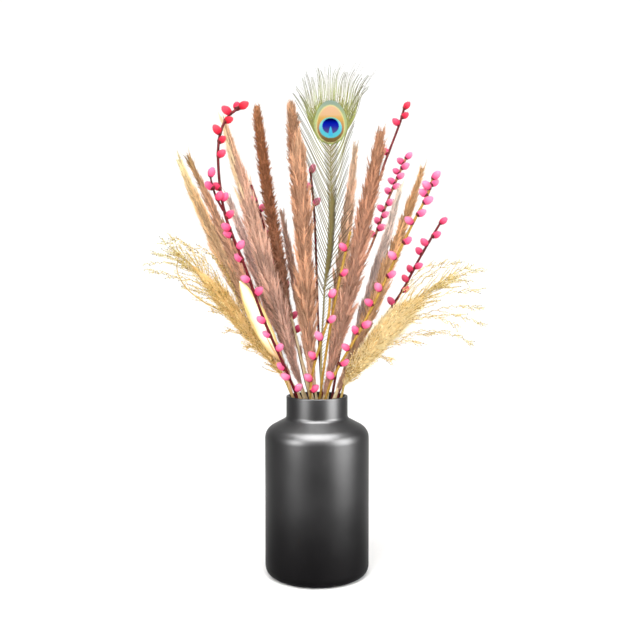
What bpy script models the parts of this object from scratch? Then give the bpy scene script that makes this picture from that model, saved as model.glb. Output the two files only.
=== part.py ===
"""Vase of dried pampas grass, willow twigs, a peacock feather, golden grass and an ivory leaf.

Metres, +Z up, the vase standing on the origin and the bouquet's front facing -Y.
"""

import math
import random

import bmesh
import bpy
from mathutils import Matrix, Vector

MM = 0.001

# Vase, turned: profile radii and heights in millimetres.
VASE_HEIGHT = 250.0
BODY_RADIUS = 73.0
FOOT_RADIUS = 61.0
NECK_RADIUS = 43.0
VASE_WALL = 4.0
FLOOR_THICKNESS = 6.0
VASE_STEPS = 28

# Every stem crosses the neck on the same twisted fan, so that no two of them meet.
WAIST_HEIGHT = 195.0
FAN_TWIST = -40.0
FOOT_BEND = 0.00248
STEM_FOOT_HEIGHT = 9.0
STEM_RADIUS = 1.7
TWIG_RADIUS = 2.0

# Plumes: tip in millimetres, sideways bow, full radius, plume length, shape of the end, colour.
PLUME_SIDES = 6
PLUME_RINGS = 10
TUFT_DEPTH = 0.16
TUFT_RISE = 6.0
PLUME_SHARE = [0, 0.08, 0.2, 0.38, 0.6, 0.8, 0.92, 1]
POINTED = [0.3, 0.78, 1, 1, 0.9, 0.6, 0.36, 0.08]
BLUNT = [0.3, 0.78, 1, 1, 1, 0.92, 0.78, 0.3]
SLIM_POINTED = [0.12, 0.5, 0.85, 1, 0.9, 0.6, 0.36, 0.08]
SLIM_BLUNT = [0.12, 0.45, 0.8, 1, 1, 0.92, 0.78, 0.3]
PLUMES = {
    "plume_tan_far_left": ((-199, 30, 588), -8, 14, 290, POINTED, "D9A96A"),
    "plume_rose_left": ((-177, -30, 584), 2, 11, 290, POINTED, "B07D62"),
    "plume_rose_streaked": ((-126, -38, 629), 0, 17, 340, POINTED, "B58A72"),
    "plume_mauve_back": ((-132, 48, 540), 0, 12, 250, POINTED, "C9A08C"),
    "plume_small_back_left": ((-103, 92, 566), 0, 8.5, 240, SLIM_POINTED, "C29A80"),
    "plume_rust": ((-84, 0, 657), -8, 9, 270, BLUNT, "8A5238"),
    "plume_small_back": ((-54, 78, 521), 0, 7.5, 200, SLIM_POINTED, "C6A48C"),
    "plume_brown_tall": ((-38, 40, 672), 0, 10.5, 280, SLIM_BLUNT, "A87858"),
    "plume_rose_front": ((-25, -45, 606), 0, 16, 322, BLUNT, "B98565"),
    "plume_peach_back": ((58, 88, 617), 0, 13, 330, POINTED, "CFA083"),
    "plume_brown_right": ((88, -30, 616), 4, 15.5, 340, BLUNT, "A9775A"),
    "plume_cream_back": ((125, 70, 558), 4, 10, 250, POINTED, "D9BFAE"),
    "plume_tan_right": ((149, 10, 572), 6, 13, 290, POINTED, "B3825C"),
}
CROWD_HEIGHT = 380.0

# Twigs: where each passes the rim, its way above it, and its catkins as (height, sideways offset).
CATKIN_LENGTH = 14.5
CATKIN_WIDTH = 10.0
CATKIN_RISE = 5.0
CATKIN_REACH = 6.4
WILLOWS = {
    "willow_arched_left": (
        (-28, -15),
        [(-41, -42, 288), (-70, -66, 360), (-94, -84, 432), (-117, -92, 495), (-125, -92, 552),
         (-124, -90, 591), (-115, -86, 617), (-96, -80, 635)],
        [(635, 3), (632, -4), (627, -8), (616, 5), (603, -5), (591, 4), (572, 6), (529, -6), (520, 5),
         (498, 6), (482, -5), (470, -9), (453, 6), (441, -4), (410, -8), (393, 6), (364, -5), (342, -7),
         (321, 6), (295, -5), (280, -6), (262, 6)],
        "E4586E",
    ),
    "willow_back_left": (
        (-11.5, 15),
        [(-21, 20, 287), (-38, 31, 362), (-59, 40, 432), (-79, 46, 497), (-96, 52, 551)],
        [(534, -8), (516, 5), (479, 5), (439, -5), (402, 6), (375, -9), (362, 5), (340, 6)],
        "D9687F",
    ),
    "willow_back_centre": (
        (7, 17),
        [(2, 28, 341), (-4, 50, 508), (-10, 60, 575)],
        [(573, 3), (550, -5), (525, 5)],
        "E4586E",
    ),
    "willow_front_centre": (
        (4, -22),
        [(9, -34, 289), (20, -52, 361), (32, -66, 422), (44, -74, 474)],
        [(457, -6), (425, 5)],
        "E9789A",
    ),
    "willow_front_short": (
        (-9, -29),
        [(-7, -38, 280), (5, -52, 328), (15, -60, 361), (18, -68, 399)],
        [(395, 3), (361, 7), (335, -5), (308, -6), (278, -5), (264, 6)],
        "E9789A",
    ),
    "willow_tall_right": (
        (22, 13),
        [(40, 28, 348), (66, 52, 471), (96, 72, 574), (124, 84, 649), (132, 86, 677)],
        [(674, 3), (661, 6), (646, -7), (601, -6)],
        "E4505F",
    ),
    "willow_bushy_right": (
        (14, 24),
        [(44, 50, 383), (81, 80, 464), (110, 98, 541), (137, 108, 603)],
        [(602, 3), (597, -7), (589, 6), (579, -8), (571, 5), (563, -8), (556, 6), (546, -6), (535, 6),
         (524, -7), (514, 5), (502, -5), (493, 6), (486, -8)],
        "EE7FA6",
    ),
    "willow_front_right": (
        (12, -30),
        [(20, -42, 276), (62, -62, 354), (98, -72, 429), (124, -74, 483), (145, -74, 525),
         (152, -72, 547)],
        [(546, 3), (538, 6), (535, -6), (526, -7), (513, 6), (502, 6), (486, -8), (462, 5), (446, -7),
         (421, 7), (398, -5), (381, -9), (355, 6), (339, -5), (325, -8), (300, 6), (285, -6)],
        "F08DB4",
    ),
    "willow_low_right": (
        (30, 12),
        [(50, 22, 291), (121, 40, 393), (151, 44, 448), (181, 45, 499)],
        [(497, 3), (477, 7), (466, -7), (452, -6), (435, 7), (426, -5), (412, -6), (400, 5), (385, -6)],
        "E0566A",
    ),
}
SPUR = [(-119, -93, 499), (-128, -97, 517), (-132, -100, 531), (-135, -103, 546)]
SPUR_CATKINS = [(545, 3), (532, -5), (518, 5)]

# Peacock feather: a flat comb of barbs in one upright plane, on a round shaft.
FEATHER_RIM = (5, -3)
FEATHER_PLANE = 10.0
FEATHER_THICKNESS = 1.2
FEATHER_SHAFT = [(6, 3, 316), (9, 8, 368), (11, 10, 405), (16, 10, 450), (19, 10, 510), (19, 10, 600)]
SHAFT_RADIUS = 1.6
SHAFT_JOIN = 389.0
EYE_CENTRE = (19.0, 628.0)
EYE_HALF_WIDTH = 24.0
EYE_BELOW = 27.0
EYE_ABOVE = 36.0
BARB_FIRST, BARB_LAST = 392.0, 574.0
BARBS_PER_SIDE = 17
BARB_WIDTH = 2.0
# Height up the shaft, then angle from upright and length of the barbs there.
LEFT_BARBS = [(392, 34, 30), (430, 31, 58), (480, 30, 74), (530, 33, 84), (574, 40, 92)]
RIGHT_BARBS = [(392, 64, 66), (414, 56, 78), (440, 42, 66), (480, 32, 62), (530, 34, 72), (574, 40, 88)]
FAN_BARBS = 17
FAN_START, FAN_END = 205.0, -25.0
FAN_TOP = 722.0

# Golden grasses: dense lower spray as (place, radius), then the ends of the loose branches.
GRASS_LEFT_RIM = (-35.5, 3.5)
GRASS_LEFT = [
    ((-46, -10, 276), 2), ((-62, -14, 300), 4), ((-80, -16, 322), 7), ((-104, -18, 352), 10),
    ((-128, -20, 384), 12), ((-152, -22, 412), 11), ((-174, -20, 434), 8), ((-198, -18, 452), 2),
]
GRASS_LEFT_TIPS = [
    (-235, -30, 432), (-226, -6, 448), (-217, 4, 465), (-201, -26, 468), (-190, 10, 464), (-168, 14, 460),
    (-148, 14, 446), (-224, -44, 424), (-203, -42, 414), (-186, -12, 402), (-166, -38, 388),
    (-146, -4, 370), (-120, -36, 344), (-98, -10, 318),
]
GRASS_RIGHT_RIM = (34, -9)
GRASS_RIGHT = [
    ((38, -15, 268), 3), ((49, -21, 284), 7), ((64, -27, 304), 12), ((84, -32, 330), 16),
    ((107, -34, 356), 17), ((131, -34, 378), 14), ((157, -32, 398), 8), ((190, -28, 416), 2),
]
GRASS_RIGHT_TIPS = [
    (230, -26, 425), (216, -10, 432), (199, 0, 436), (179, -4, 438), (157, -12, 434), (208, -44, 410),
    (216, -52, 396), (227, -26, 373), (222, -42, 353), (213, -18, 325), (188, -56, 350),
    (160, -20, 338), (136, -52, 328), (100, -44, 304),
]
GRASS_BRANCH_SHARE = 0.58
GRASS_BRANCH_RADII = (2.8, 3.0, 2.0, 0.6)

# Ivory leaf: stalk, then blade stations as (place on the midrib, half width).
LEAF_RIM = (-34, -6)
LEAF_BLADE = [
    ((-48, -23, 300), 2), ((-60, -31, 318), 9), ((-71, -37, 340), 12), ((-81, -41, 362), 12.5),
    ((-91, -45, 384), 10), ((-98, -48, 400), 6), ((-103, -50, 410), 1),
]
LEAF_THICKNESS = 1.0
LEAF_FOLD = 3.0
LEAF_ACROSS = Vector((0.88, -0.15, 0.41))


def linear(hex_colour):
    """An sRGB hex colour as the linear RGBA that the shader takes."""
    channels = [int(hex_colour[i:i + 2], 16) / 255 for i in (0, 2, 4)]
    return [c / 12.92 if c <= 0.04045 else ((c + 0.055) / 1.055) ** 2.4 for c in channels] + [1.0]


def material(name, hex_colour, roughness):
    made = bpy.data.materials.new(name)
    made.use_nodes = True
    shader = made.node_tree.nodes["Principled BSDF"]
    shader.inputs["Base Color"].default_value = linear(hex_colour)
    shader.inputs["Roughness"].default_value = roughness
    shader.inputs["Metallic"].default_value = 0.0
    made.diffuse_color = linear(hex_colour)
    return made


def clear_scene():
    for obj in list(bpy.data.objects):
        bpy.data.objects.remove(obj, do_unlink=True)


def collection(name):
    made = bpy.data.collections.new(name)
    bpy.context.scene.collection.children.link(made)
    return made


def place(name, mesh, group, finish=None):
    obj = bpy.data.objects.new(name, mesh)
    group.objects.link(obj)
    if finish is not None:
        mesh.materials.clear()
        mesh.materials.append(finish)
    return obj


def interpolate(x, xs, ys):
    for i in range(1, len(xs)):
        if x <= xs[i]:
            share = (x - xs[i - 1]) / (xs[i] - xs[i - 1])
            return ys[i - 1] + max(0.0, share) * (ys[i] - ys[i - 1])
    return ys[-1]


def fan(height):
    """The complex factor that carries a stem's slope to its place at this height."""
    above = height - WAIST_HEIGHT
    if above < 0:
        above += FOOT_BEND * above * above
    return complex(above, FAN_TWIST)


def fan_point(slope, height):
    spot = slope * fan(height)
    return Vector((spot.real, spot.imag, height))


def stem_in_vase(slope):
    heights = (STEM_FOOT_HEIGHT, 60, 115, 165, WAIST_HEIGHT, 222, VASE_HEIGHT)
    return [fan_point(slope, height) for height in heights]


def smooth_line(points, parts):
    """A centripetal Catmull-Rom line through the points."""
    pts = [Vector(p) for p in points]
    pts = [2 * pts[0] - pts[1]] + pts + [2 * pts[-1] - pts[-2]]
    line = []
    for i in range(1, len(pts) - 2):
        p0, p1, p2, p3 = pts[i - 1:i + 3]
        t0 = 0.0
        t1 = t0 + (p1 - p0).length ** 0.5
        t2 = t1 + (p2 - p1).length ** 0.5
        t3 = t2 + (p3 - p2).length ** 0.5
        for step in range(parts):
            t = t1 + (t2 - t1) * step / parts
            a1 = p0.lerp(p1, (t - t0) / (t1 - t0))
            a2 = p1.lerp(p2, (t - t1) / (t2 - t1))
            a3 = p2.lerp(p3, (t - t2) / (t3 - t2))
            b1 = a1.lerp(a2, (t - t0) / (t2 - t0))
            b2 = a2.lerp(a3, (t - t1) / (t3 - t1))
            line.append(b1.lerp(b2, (t - t1) / (t2 - t1)))
    line.append(pts[-2])
    return line


def direction(line, i):
    ahead = line[min(i + 1, len(line) - 1)]
    behind = line[max(i - 1, 0)]
    return (ahead - behind).normalized()


def tube(line, radii, resolution):
    """A capped tube through the points, from a bevelled curve, as a welded mesh in metres."""
    curve = bpy.data.curves.new("tube_path", "CURVE")
    curve.dimensions = "3D"
    curve.bevel_depth = 1.0
    curve.bevel_resolution = resolution
    curve.use_fill_caps = True
    spline = curve.splines.new("POLY")
    spline.points.add(len(line) - 1)
    for point, spot, radius in zip(spline.points, line, radii):
        point.co = (*(spot * MM), 1.0)
        point.radius = radius * MM
    return solid_from_curve(curve)


def solid_from_curve(curve, turn=None):
    """The evaluated curve as a mesh with its caps welded on."""
    obj = bpy.data.objects.new("tube_path", curve)
    bpy.context.scene.collection.objects.link(obj)
    if turn is not None:
        obj.matrix_world = turn
    graph = bpy.context.evaluated_depsgraph_get()
    evaluated = obj.evaluated_get(graph)
    mesh = bpy.data.meshes.new_from_object(evaluated)
    mesh.transform(obj.matrix_world)
    bpy.data.objects.remove(obj)
    bpy.data.curves.remove(curve)
    bm = bmesh.new()
    bm.from_mesh(mesh)
    bmesh.ops.remove_doubles(bm, verts=bm.verts, dist=1e-6)
    bmesh.ops.recalc_face_normals(bm, faces=bm.faces)
    bm.to_mesh(mesh)
    bm.free()
    return mesh


def merged(meshes, name):
    """Several closed meshes as the islands of one mesh."""
    bm = bmesh.new()
    for mesh in meshes:
        bm.from_mesh(mesh)
        bpy.data.meshes.remove(mesh)
    joined = bpy.data.meshes.new(name)
    bm.to_mesh(joined)
    bm.free()
    return joined


def fuse(name, base, additions, bodies, cutters, finish):
    """One body from a base mesh and the pieces that grow from it."""
    obj = place(name, base, bodies, finish)
    helper = place(name + "_growth", additions, cutters, finish)
    helper.hide_render = True
    helper.display_type = "WIRE"
    union = obj.modifiers.new("growth", "BOOLEAN")
    union.operation = "UNION"
    union.solver = "EXACT"
    union.use_self = True
    union.object = helper
    return obj


def build_vase(bodies):
    inner_neck = NECK_RADIUS - VASE_WALL
    inner_body = BODY_RADIUS - VASE_WALL
    profile = [
        (0.0, FLOOR_THICKNESS), (58.0, FLOOR_THICKNESS), (inner_body, 16.0),
        (inner_body, 189.0), (63.5, 200.6), (46.5, 210.6),
        (inner_neck, 217.0), (inner_neck, VASE_HEIGHT - 1.4), (inner_neck + 1.4, VASE_HEIGHT),
        (NECK_RADIUS - 1.4, VASE_HEIGHT), (NECK_RADIUS, VASE_HEIGHT - 1.4), (NECK_RADIUS, 222.0),
        (45.2, 217.6), (55.7, 212.1), (66.2, 206.4), (71.0, 200.0), (BODY_RADIUS, 190.0),
        (BODY_RADIUS, 14.0), (69.4, 5.0), (FOOT_RADIUS, 0.0), (0.0, 0.0),
    ]
    mesh = bpy.data.meshes.new("vase")
    verts = [(radius * MM, 0.0, height * MM) for radius, height in profile]
    edges = [(i, i + 1) for i in range(len(profile) - 1)]
    mesh.from_pydata(verts, edges, [])
    obj = place("vase", mesh, bodies, material("vase_matt_black", "1E1D1E", 0.42))
    turn = obj.modifiers.new("turn", "SCREW")
    turn.axis = "Z"
    turn.steps = VASE_STEPS
    turn.render_steps = VASE_STEPS
    turn.use_merge_vertices = True
    turn.merge_threshold = 0.0001
    turn.use_normal_calculate = True
    return obj


def build_plume(name, spec, bodies):
    """A reed stem that swells into a shaggy plume: one loft of star sections that change all the way up."""
    tip, bow, full_radius, length, swell, colour = spec
    chance = random.Random(name)
    slope = complex(tip[0], tip[1]) / fan(tip[2])
    stem_heights = (STEM_FOOT_HEIGHT, 115, WAIST_HEIGHT)
    plume_foot = tip[2] - length
    rings = [(height, STEM_RADIUS, 0.0) for height in stem_heights if height < plume_foot - 4]
    for i in range(PLUME_RINGS):
        share = i / (PLUME_RINGS - 1)
        height = plume_foot + share * (tip[2] - plume_foot)
        crowd = min(1.0, abs(fan(height)) / abs(fan(CROWD_HEIGHT)))
        radius = full_radius * interpolate(share, PLUME_SHARE, swell) * crowd
        rings.append((height, max(STEM_RADIUS, radius), 1.0))
    bm = bmesh.new()
    above = tip[2] - VASE_HEIGHT
    last = None
    for count, (height, radius, shaggy) in enumerate(rings):
        centre = fan_point(slope, height)
        share = max(0.0, (height - VASE_HEIGHT) / above)
        centre.x += bow * 4 * share * (1 - share)
        section = []
        for j in range(PLUME_SIDES):
            angle = 2 * math.pi * j / PLUME_SIDES
            tuft = (1 if (j + count) % 2 else -1) * shaggy
            grown = radius * (1 + TUFT_DEPTH * tuft * chance.uniform(0.5, 1.0))
            rise = TUFT_RISE * tuft * min(1.0, radius / full_radius) * chance.uniform(0.4, 1.0)
            spot = centre + Vector((grown * math.cos(angle), grown * math.sin(angle), rise))
            section.append(bm.verts.new(spot * MM))
        if last is None:
            bm.faces.new(list(reversed(section)))
        else:
            for j in range(PLUME_SIDES):
                k = (j + 1) % PLUME_SIDES
                bm.faces.new((last[j], last[k], section[k], section[j]))
        last = section
    bm.faces.new(last)
    bmesh.ops.triangulate(bm, faces=bm.faces)
    mesh = bpy.data.meshes.new(name)
    bm.to_mesh(mesh)
    bm.free()
    place(name, mesh, bodies, material(name + "_straw", colour, 0.9))


def catkin(centre, along, size):
    """An egg-shaped catkin about its centre, its long axis along the way it points."""
    bm = bmesh.new()
    bmesh.ops.create_icosphere(bm, subdivisions=1, radius=1.0)
    turn = along.to_track_quat("Z", "Y")
    for vert in bm.verts:
        x, y, z = vert.co
        local = Vector((x * CATKIN_WIDTH / 2, y * CATKIN_WIDTH / 2, z * CATKIN_LENGTH / 2)) * size
        vert.co = (turn @ local + centre) * MM
    mesh = bpy.data.meshes.new("catkin")
    bm.to_mesh(mesh)
    bm.free()
    return mesh


def catkins_along(line, spots, chance):
    """The catkins of a twig, each leaning out from it on its own side."""
    made = []
    for height, sideways in spots:
        near = min(range(len(line)), key=lambda i: abs(line[i].z - height))
        on_twig = line[near]
        centre = on_twig + Vector((sideways, 0, 0))
        centre.y += (1 if len(made) % 2 else -1) * chance.uniform(1.5, 3.0)
        base = on_twig - direction(line, near) * CATKIN_RISE
        size = chance.uniform(0.92, 1.06)
        along = (centre - base).normalized()
        made.append(catkin(base + along * size * CATKIN_REACH, along, size))
    return made


def build_willow(name, spec, bodies, cutters):
    rim, way, spots, colour = spec
    chance = random.Random(name)
    slope = complex(*rim) / fan(VASE_HEIGHT)
    line = smooth_line(stem_in_vase(slope) + [Vector(p) for p in way], 8)
    end = len(line) - 1
    radii = [TWIG_RADIUS * (1 - 0.3 * i / end) for i in range(end + 1)]
    keep = [i for i in range(end + 1) if i % 4 == 0 and line[i].z > 200 or i % 16 == 0 or i == end]
    twig = tube([line[i] for i in keep], [radii[i] for i in keep], 0)
    growth = catkins_along(line, spots, chance)
    if name == "willow_arched_left":
        spur = smooth_line(SPUR, 2)
        growth.append(tube(spur, [1.6] * len(spur), 1))
        growth += catkins_along(spur, SPUR_CATKINS, chance)
    fuse(name, twig, merged(growth, name + "_catkins"), bodies, cutters, material(name + "_dyed", colour, 0.85))


def shaft_x(height):
    xs = [p[0] for p in FEATHER_SHAFT]
    zs = [p[2] for p in FEATHER_SHAFT]
    return interpolate(height, zs, xs)


def barb(outline, root_low, root_high, angle, length, side):
    """Adds one barb to the outline: out along its lower edge, round the tip and back."""
    middle = (root_low + root_high) / 2
    lean = math.radians(angle)
    first = Vector((side * math.sin(lean), math.cos(lean)))
    bend = math.radians(angle * 0.72)
    second = Vector((side * math.sin(bend), math.cos(bend)))
    knee = middle + first * length * 0.5
    tip = knee + second * length * 0.5
    across = Vector((first.y, -first.x)) * side
    half = across * BARB_WIDTH * 0.4
    run = [root_low, knee + half, tip, knee - half, root_high]
    if side > 0:
        run.reverse()
    outline.extend(run)


def side_barbs(outline, table, side):
    heights = [row[0] for row in table]
    step = (BARB_LAST - BARB_FIRST) / (BARBS_PER_SIDE - 1)
    order = range(BARBS_PER_SIDE) if side < 0 else reversed(range(BARBS_PER_SIDE))
    for i in order:
        height = BARB_FIRST + i * step
        angle = interpolate(height, heights, [row[1] for row in table])
        length = interpolate(height, heights, [row[2] for row in table])
        x = shaft_x(height) + side * SHAFT_RADIUS
        reach = BARB_WIDTH / math.sin(math.radians(angle)) / 2
        barb(outline, Vector((x, height - reach)), Vector((x, height + reach)), angle, length, side)


def eye_edge(angle):
    turn = math.radians(angle)
    tall = EYE_ABOVE if math.sin(turn) > 0 else EYE_BELOW
    return Vector((EYE_CENTRE[0] + EYE_HALF_WIDTH * math.cos(turn), EYE_CENTRE[1] + tall * math.sin(turn)))


def fan_barbs(outline):
    step = (FAN_END - FAN_START) / (FAN_BARBS - 1)
    for i in range(FAN_BARBS):
        angle = FAN_START + i * step
        low = eye_edge(angle - step * 0.26)
        high = eye_edge(angle + step * 0.26)
        share = (angle - 90) / (FAN_START - 90)
        lean = 31 * share
        rise = FAN_TOP - 14 * share * share - 9 * (i % 2) - (low.y + high.y) / 2
        length = rise / math.cos(math.radians(lean * 0.86))
        side = -1 if share >= 0 else 1
        if side < 0:
            barb(outline, low, high, abs(lean), length, side)
        else:
            barb(outline, high, low, abs(lean), length, side)


def build_feather(bodies, cutters):
    outline = [Vector((shaft_x(384) - SHAFT_RADIUS, 384))]
    side_barbs(outline, LEFT_BARBS, -1)
    outline.append(Vector((shaft_x(590) - SHAFT_RADIUS, 590)))
    outline.append(eye_edge(235))
    fan_barbs(outline)
    outline.append(eye_edge(-55))
    outline.append(Vector((shaft_x(590) + SHAFT_RADIUS, 590)))
    side_barbs(outline, RIGHT_BARBS, 1)
    outline.append(Vector((shaft_x(384) + SHAFT_RADIUS, 384)))
    curve = bpy.data.curves.new("vane_outline", "CURVE")
    curve.dimensions = "2D"
    curve.fill_mode = "BOTH"
    curve.extrude = FEATHER_THICKNESS * MM / 2
    spline = curve.splines.new("POLY")
    spline.points.add(len(outline) - 1)
    spline.use_cyclic_u = True
    for point, spot in zip(spline.points, outline):
        point.co = (spot.x * MM, spot.y * MM, 0.0, 1.0)
    upright = Vector((0, FEATHER_PLANE * MM, 0))
    turn = upright_plane(upright)
    vane = solid_from_curve(curve, turn)
    slope = complex(*FEATHER_RIM) / fan(VASE_HEIGHT)
    shaft_line = stem_in_vase(slope) + [Vector(p) for p in FEATHER_SHAFT if p[2] < SHAFT_JOIN]
    shaft_line.append(Vector((shaft_x(SHAFT_JOIN), FEATHER_PLANE, SHAFT_JOIN)))
    shaft = tube(shaft_line, [SHAFT_RADIUS] * (len(shaft_line) - 1) + [0.4], 1)
    fuse("peacock_feather", shaft, vane, bodies, cutters, material("peacock_barb_green", "8F9A5C", 0.55))


def upright_plane(offset):
    """The matrix that stands a flat outline up, facing -Y."""
    return Matrix.Translation(offset) @ Matrix.Rotation(math.pi / 2, 4, "X")


def build_grass(name, rim, body, tips, colour, bodies, cutters):
    """A dense lower spray that opens into loose thin branches."""
    slope = complex(*rim) / fan(VASE_HEIGHT)
    stem = stem_in_vase(slope)
    places = [Vector(p) for p, _ in body]
    widths = [r for _, r in body]
    core = tube(stem + places, [STEM_RADIUS] * len(stem) + widths, 1)
    growth = []
    for tip in tips:
        goal = Vector(tip)
        wanted = GRASS_BRANCH_SHARE * (goal - places[1]).length
        start = min(range(1, len(places) - 1), key=lambda k: abs((goal - places[k]).length - wanted))
        root = places[start]
        lift = Vector((0, 0, 0.1 * (goal - root).length))
        knees = [root.lerp(goal, 0.36) + lift * 1.1, root.lerp(goal, 0.7) + lift]
        growth.append(tube([root] + knees + [goal], GRASS_BRANCH_RADII, 0))
    fuse(name, core, merged(growth, name + "_branches"), bodies, cutters, material(name + "_gold", colour, 0.8))


def build_leaf(bodies, cutters):
    slope = complex(*LEAF_RIM) / fan(VASE_HEIGHT)
    places = [Vector(p) for p, _ in LEAF_BLADE]
    stem = stem_in_vase(slope) + [places[0], places[1], places[2]]
    stalk = tube(stem, [STEM_RADIUS] * (len(stem) - 1) + [0.7], 1)
    across = LEAF_ACROSS.normalized()
    mesh = bpy.data.meshes.new("leaf_blade")
    verts = []
    faces = []
    for i, (spot, half) in enumerate(LEAF_BLADE):
        along = direction(places, i)
        side = (across - along * across.dot(along)).normalized()
        out = side.cross(along) * LEAF_FOLD * half / 11
        for share in (-1, 0, 1):
            verts.append((Vector(spot) + side * half * share - out * abs(share)) * MM)
        if i:
            row = 3 * i
            faces += [(row - 3, row - 2, row + 1, row), (row - 2, row - 1, row + 2, row + 1)]
    mesh.from_pydata(verts, [], faces)
    blade = place("leaf_blade", mesh, cutters)
    shell = blade.modifiers.new("thickness", "SOLIDIFY")
    shell.thickness = LEAF_THICKNESS * MM
    shell.offset = 0.0
    graph = bpy.context.evaluated_depsgraph_get()
    solid = bpy.data.meshes.new_from_object(blade.evaluated_get(graph))
    bpy.data.objects.remove(blade)
    fuse("ivory_leaf", stalk, solid, bodies, cutters, material("leaf_ivory", "F6E8C0", 0.6))


def main():
    clear_scene()
    bodies = collection("vase_of_dried_pampas_grass")
    cutters = collection("growth_helpers")
    build_vase(bodies)
    for name, spec in PLUMES.items():
        build_plume(name, spec, bodies)
    for name, spec in WILLOWS.items():
        build_willow(name, spec, bodies, cutters)
    build_feather(bodies, cutters)
    build_grass("golden_grass_left", GRASS_LEFT_RIM, GRASS_LEFT, GRASS_LEFT_TIPS, "D2AC5C", bodies, cutters)
    build_grass("golden_grass_right", GRASS_RIGHT_RIM, GRASS_RIGHT, GRASS_RIGHT_TIPS, "ECD58F", bodies, cutters)
    build_leaf(bodies, cutters)
    cutters.hide_render = True


main()
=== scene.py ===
"""A matt black vase of dried stems: reed and pampas plumes, pink willow twigs, a peacock feather,
golden grass and an ivory leaf."""

import math
import random

import bpy
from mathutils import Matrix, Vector


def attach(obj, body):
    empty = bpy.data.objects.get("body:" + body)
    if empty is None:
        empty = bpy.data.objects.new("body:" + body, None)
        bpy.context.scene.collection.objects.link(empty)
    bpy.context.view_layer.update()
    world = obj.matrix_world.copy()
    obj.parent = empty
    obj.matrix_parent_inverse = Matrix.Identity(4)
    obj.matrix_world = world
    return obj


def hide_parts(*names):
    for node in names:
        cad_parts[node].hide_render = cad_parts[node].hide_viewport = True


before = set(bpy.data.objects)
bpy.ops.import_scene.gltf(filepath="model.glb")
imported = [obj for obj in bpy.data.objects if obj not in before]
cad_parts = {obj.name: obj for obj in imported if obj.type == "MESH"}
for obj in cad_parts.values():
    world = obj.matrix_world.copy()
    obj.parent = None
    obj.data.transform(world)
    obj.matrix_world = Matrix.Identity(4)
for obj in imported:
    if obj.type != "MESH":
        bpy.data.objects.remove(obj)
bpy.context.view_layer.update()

MM = 0.001

# Vase: outer and inner corners in millimetres as (radius, height, rounding).
VASE_CORNERS = [
    (0.0, 6.0, 0.0), (69.0, 6.0, 10.0), (69.0, 197.4, 8.0), (39.0, 215.0, 3.0), (39.0, 250.0, 1.4),
    (43.0, 250.0, 1.4), (43.0, 219.0, 4.0), (73.0, 202.7, 12.0), (73.0, 0.0, 13.0), (0.0, 0.0, 0.0),
]
VASE_HEIGHT = 250.0
VASE_STEPS = 128
ROUNDING_PARTS = 8

# Every stem crosses the neck on one twisted fan, so that no two of them meet.
WAIST_HEIGHT = 195.0
FAN_TWIST = -40.0
FOOT_BEND = 0.00248
STEM_FOOT_HEIGHT = 9.0
STEM_HEIGHTS = (STEM_FOOT_HEIGHT, 60, 115, 165, WAIST_HEIGHT, 222, VASE_HEIGHT)
STEM_RADIUS = 1.7
TWIG_RADIUS = 2.0

# Plumes: tip in millimetres, sideways bow, full radius, plume length, shape of the end.
PLUME_SHARE = [0, 0.08, 0.2, 0.38, 0.6, 0.8, 0.92, 1]
POINTED = [0.3, 0.78, 1, 1, 0.9, 0.6, 0.36, 0.08]
BLUNT = [0.3, 0.78, 1, 1, 1, 0.92, 0.78, 0.3]
SLIM_POINTED = [0.12, 0.5, 0.85, 1, 0.9, 0.6, 0.36, 0.08]
SLIM_BLUNT = [0.12, 0.45, 0.8, 1, 1, 0.92, 0.78, 0.3]
CROWD_HEIGHT = 380.0
PLUMES = {
    "plume_tan_far_left": ((-199, 30, 588), -8, 14, 290, POINTED),
    "plume_rose_left": ((-177, -30, 584), 2, 11, 290, POINTED),
    "plume_rose_streaked": ((-126, -38, 629), 0, 17, 340, POINTED),
    "plume_mauve_back": ((-132, 48, 540), 0, 12, 250, POINTED),
    "plume_small_back_left": ((-103, 92, 566), 0, 8.5, 240, SLIM_POINTED),
    "plume_rust": ((-84, 0, 657), -8, 9, 270, BLUNT),
    "plume_small_back": ((-54, 78, 521), 0, 7.5, 200, SLIM_POINTED),
    "plume_brown_tall": ((-38, 40, 672), 0, 10.5, 280, SLIM_BLUNT),
    "plume_rose_front": ((-25, -45, 606), 0, 16, 322, BLUNT),
    "plume_peach_back": ((58, 88, 617), 0, 13, 330, POINTED),
    "plume_brown_right": ((88, -30, 616), 4, 15.5, 340, BLUNT),
    "plume_cream_back": ((125, 70, 558), 4, 10, 250, POINTED),
    "plume_tan_right": ((149, 10, 572), 6, 13, 290, POINTED),
}
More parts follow.
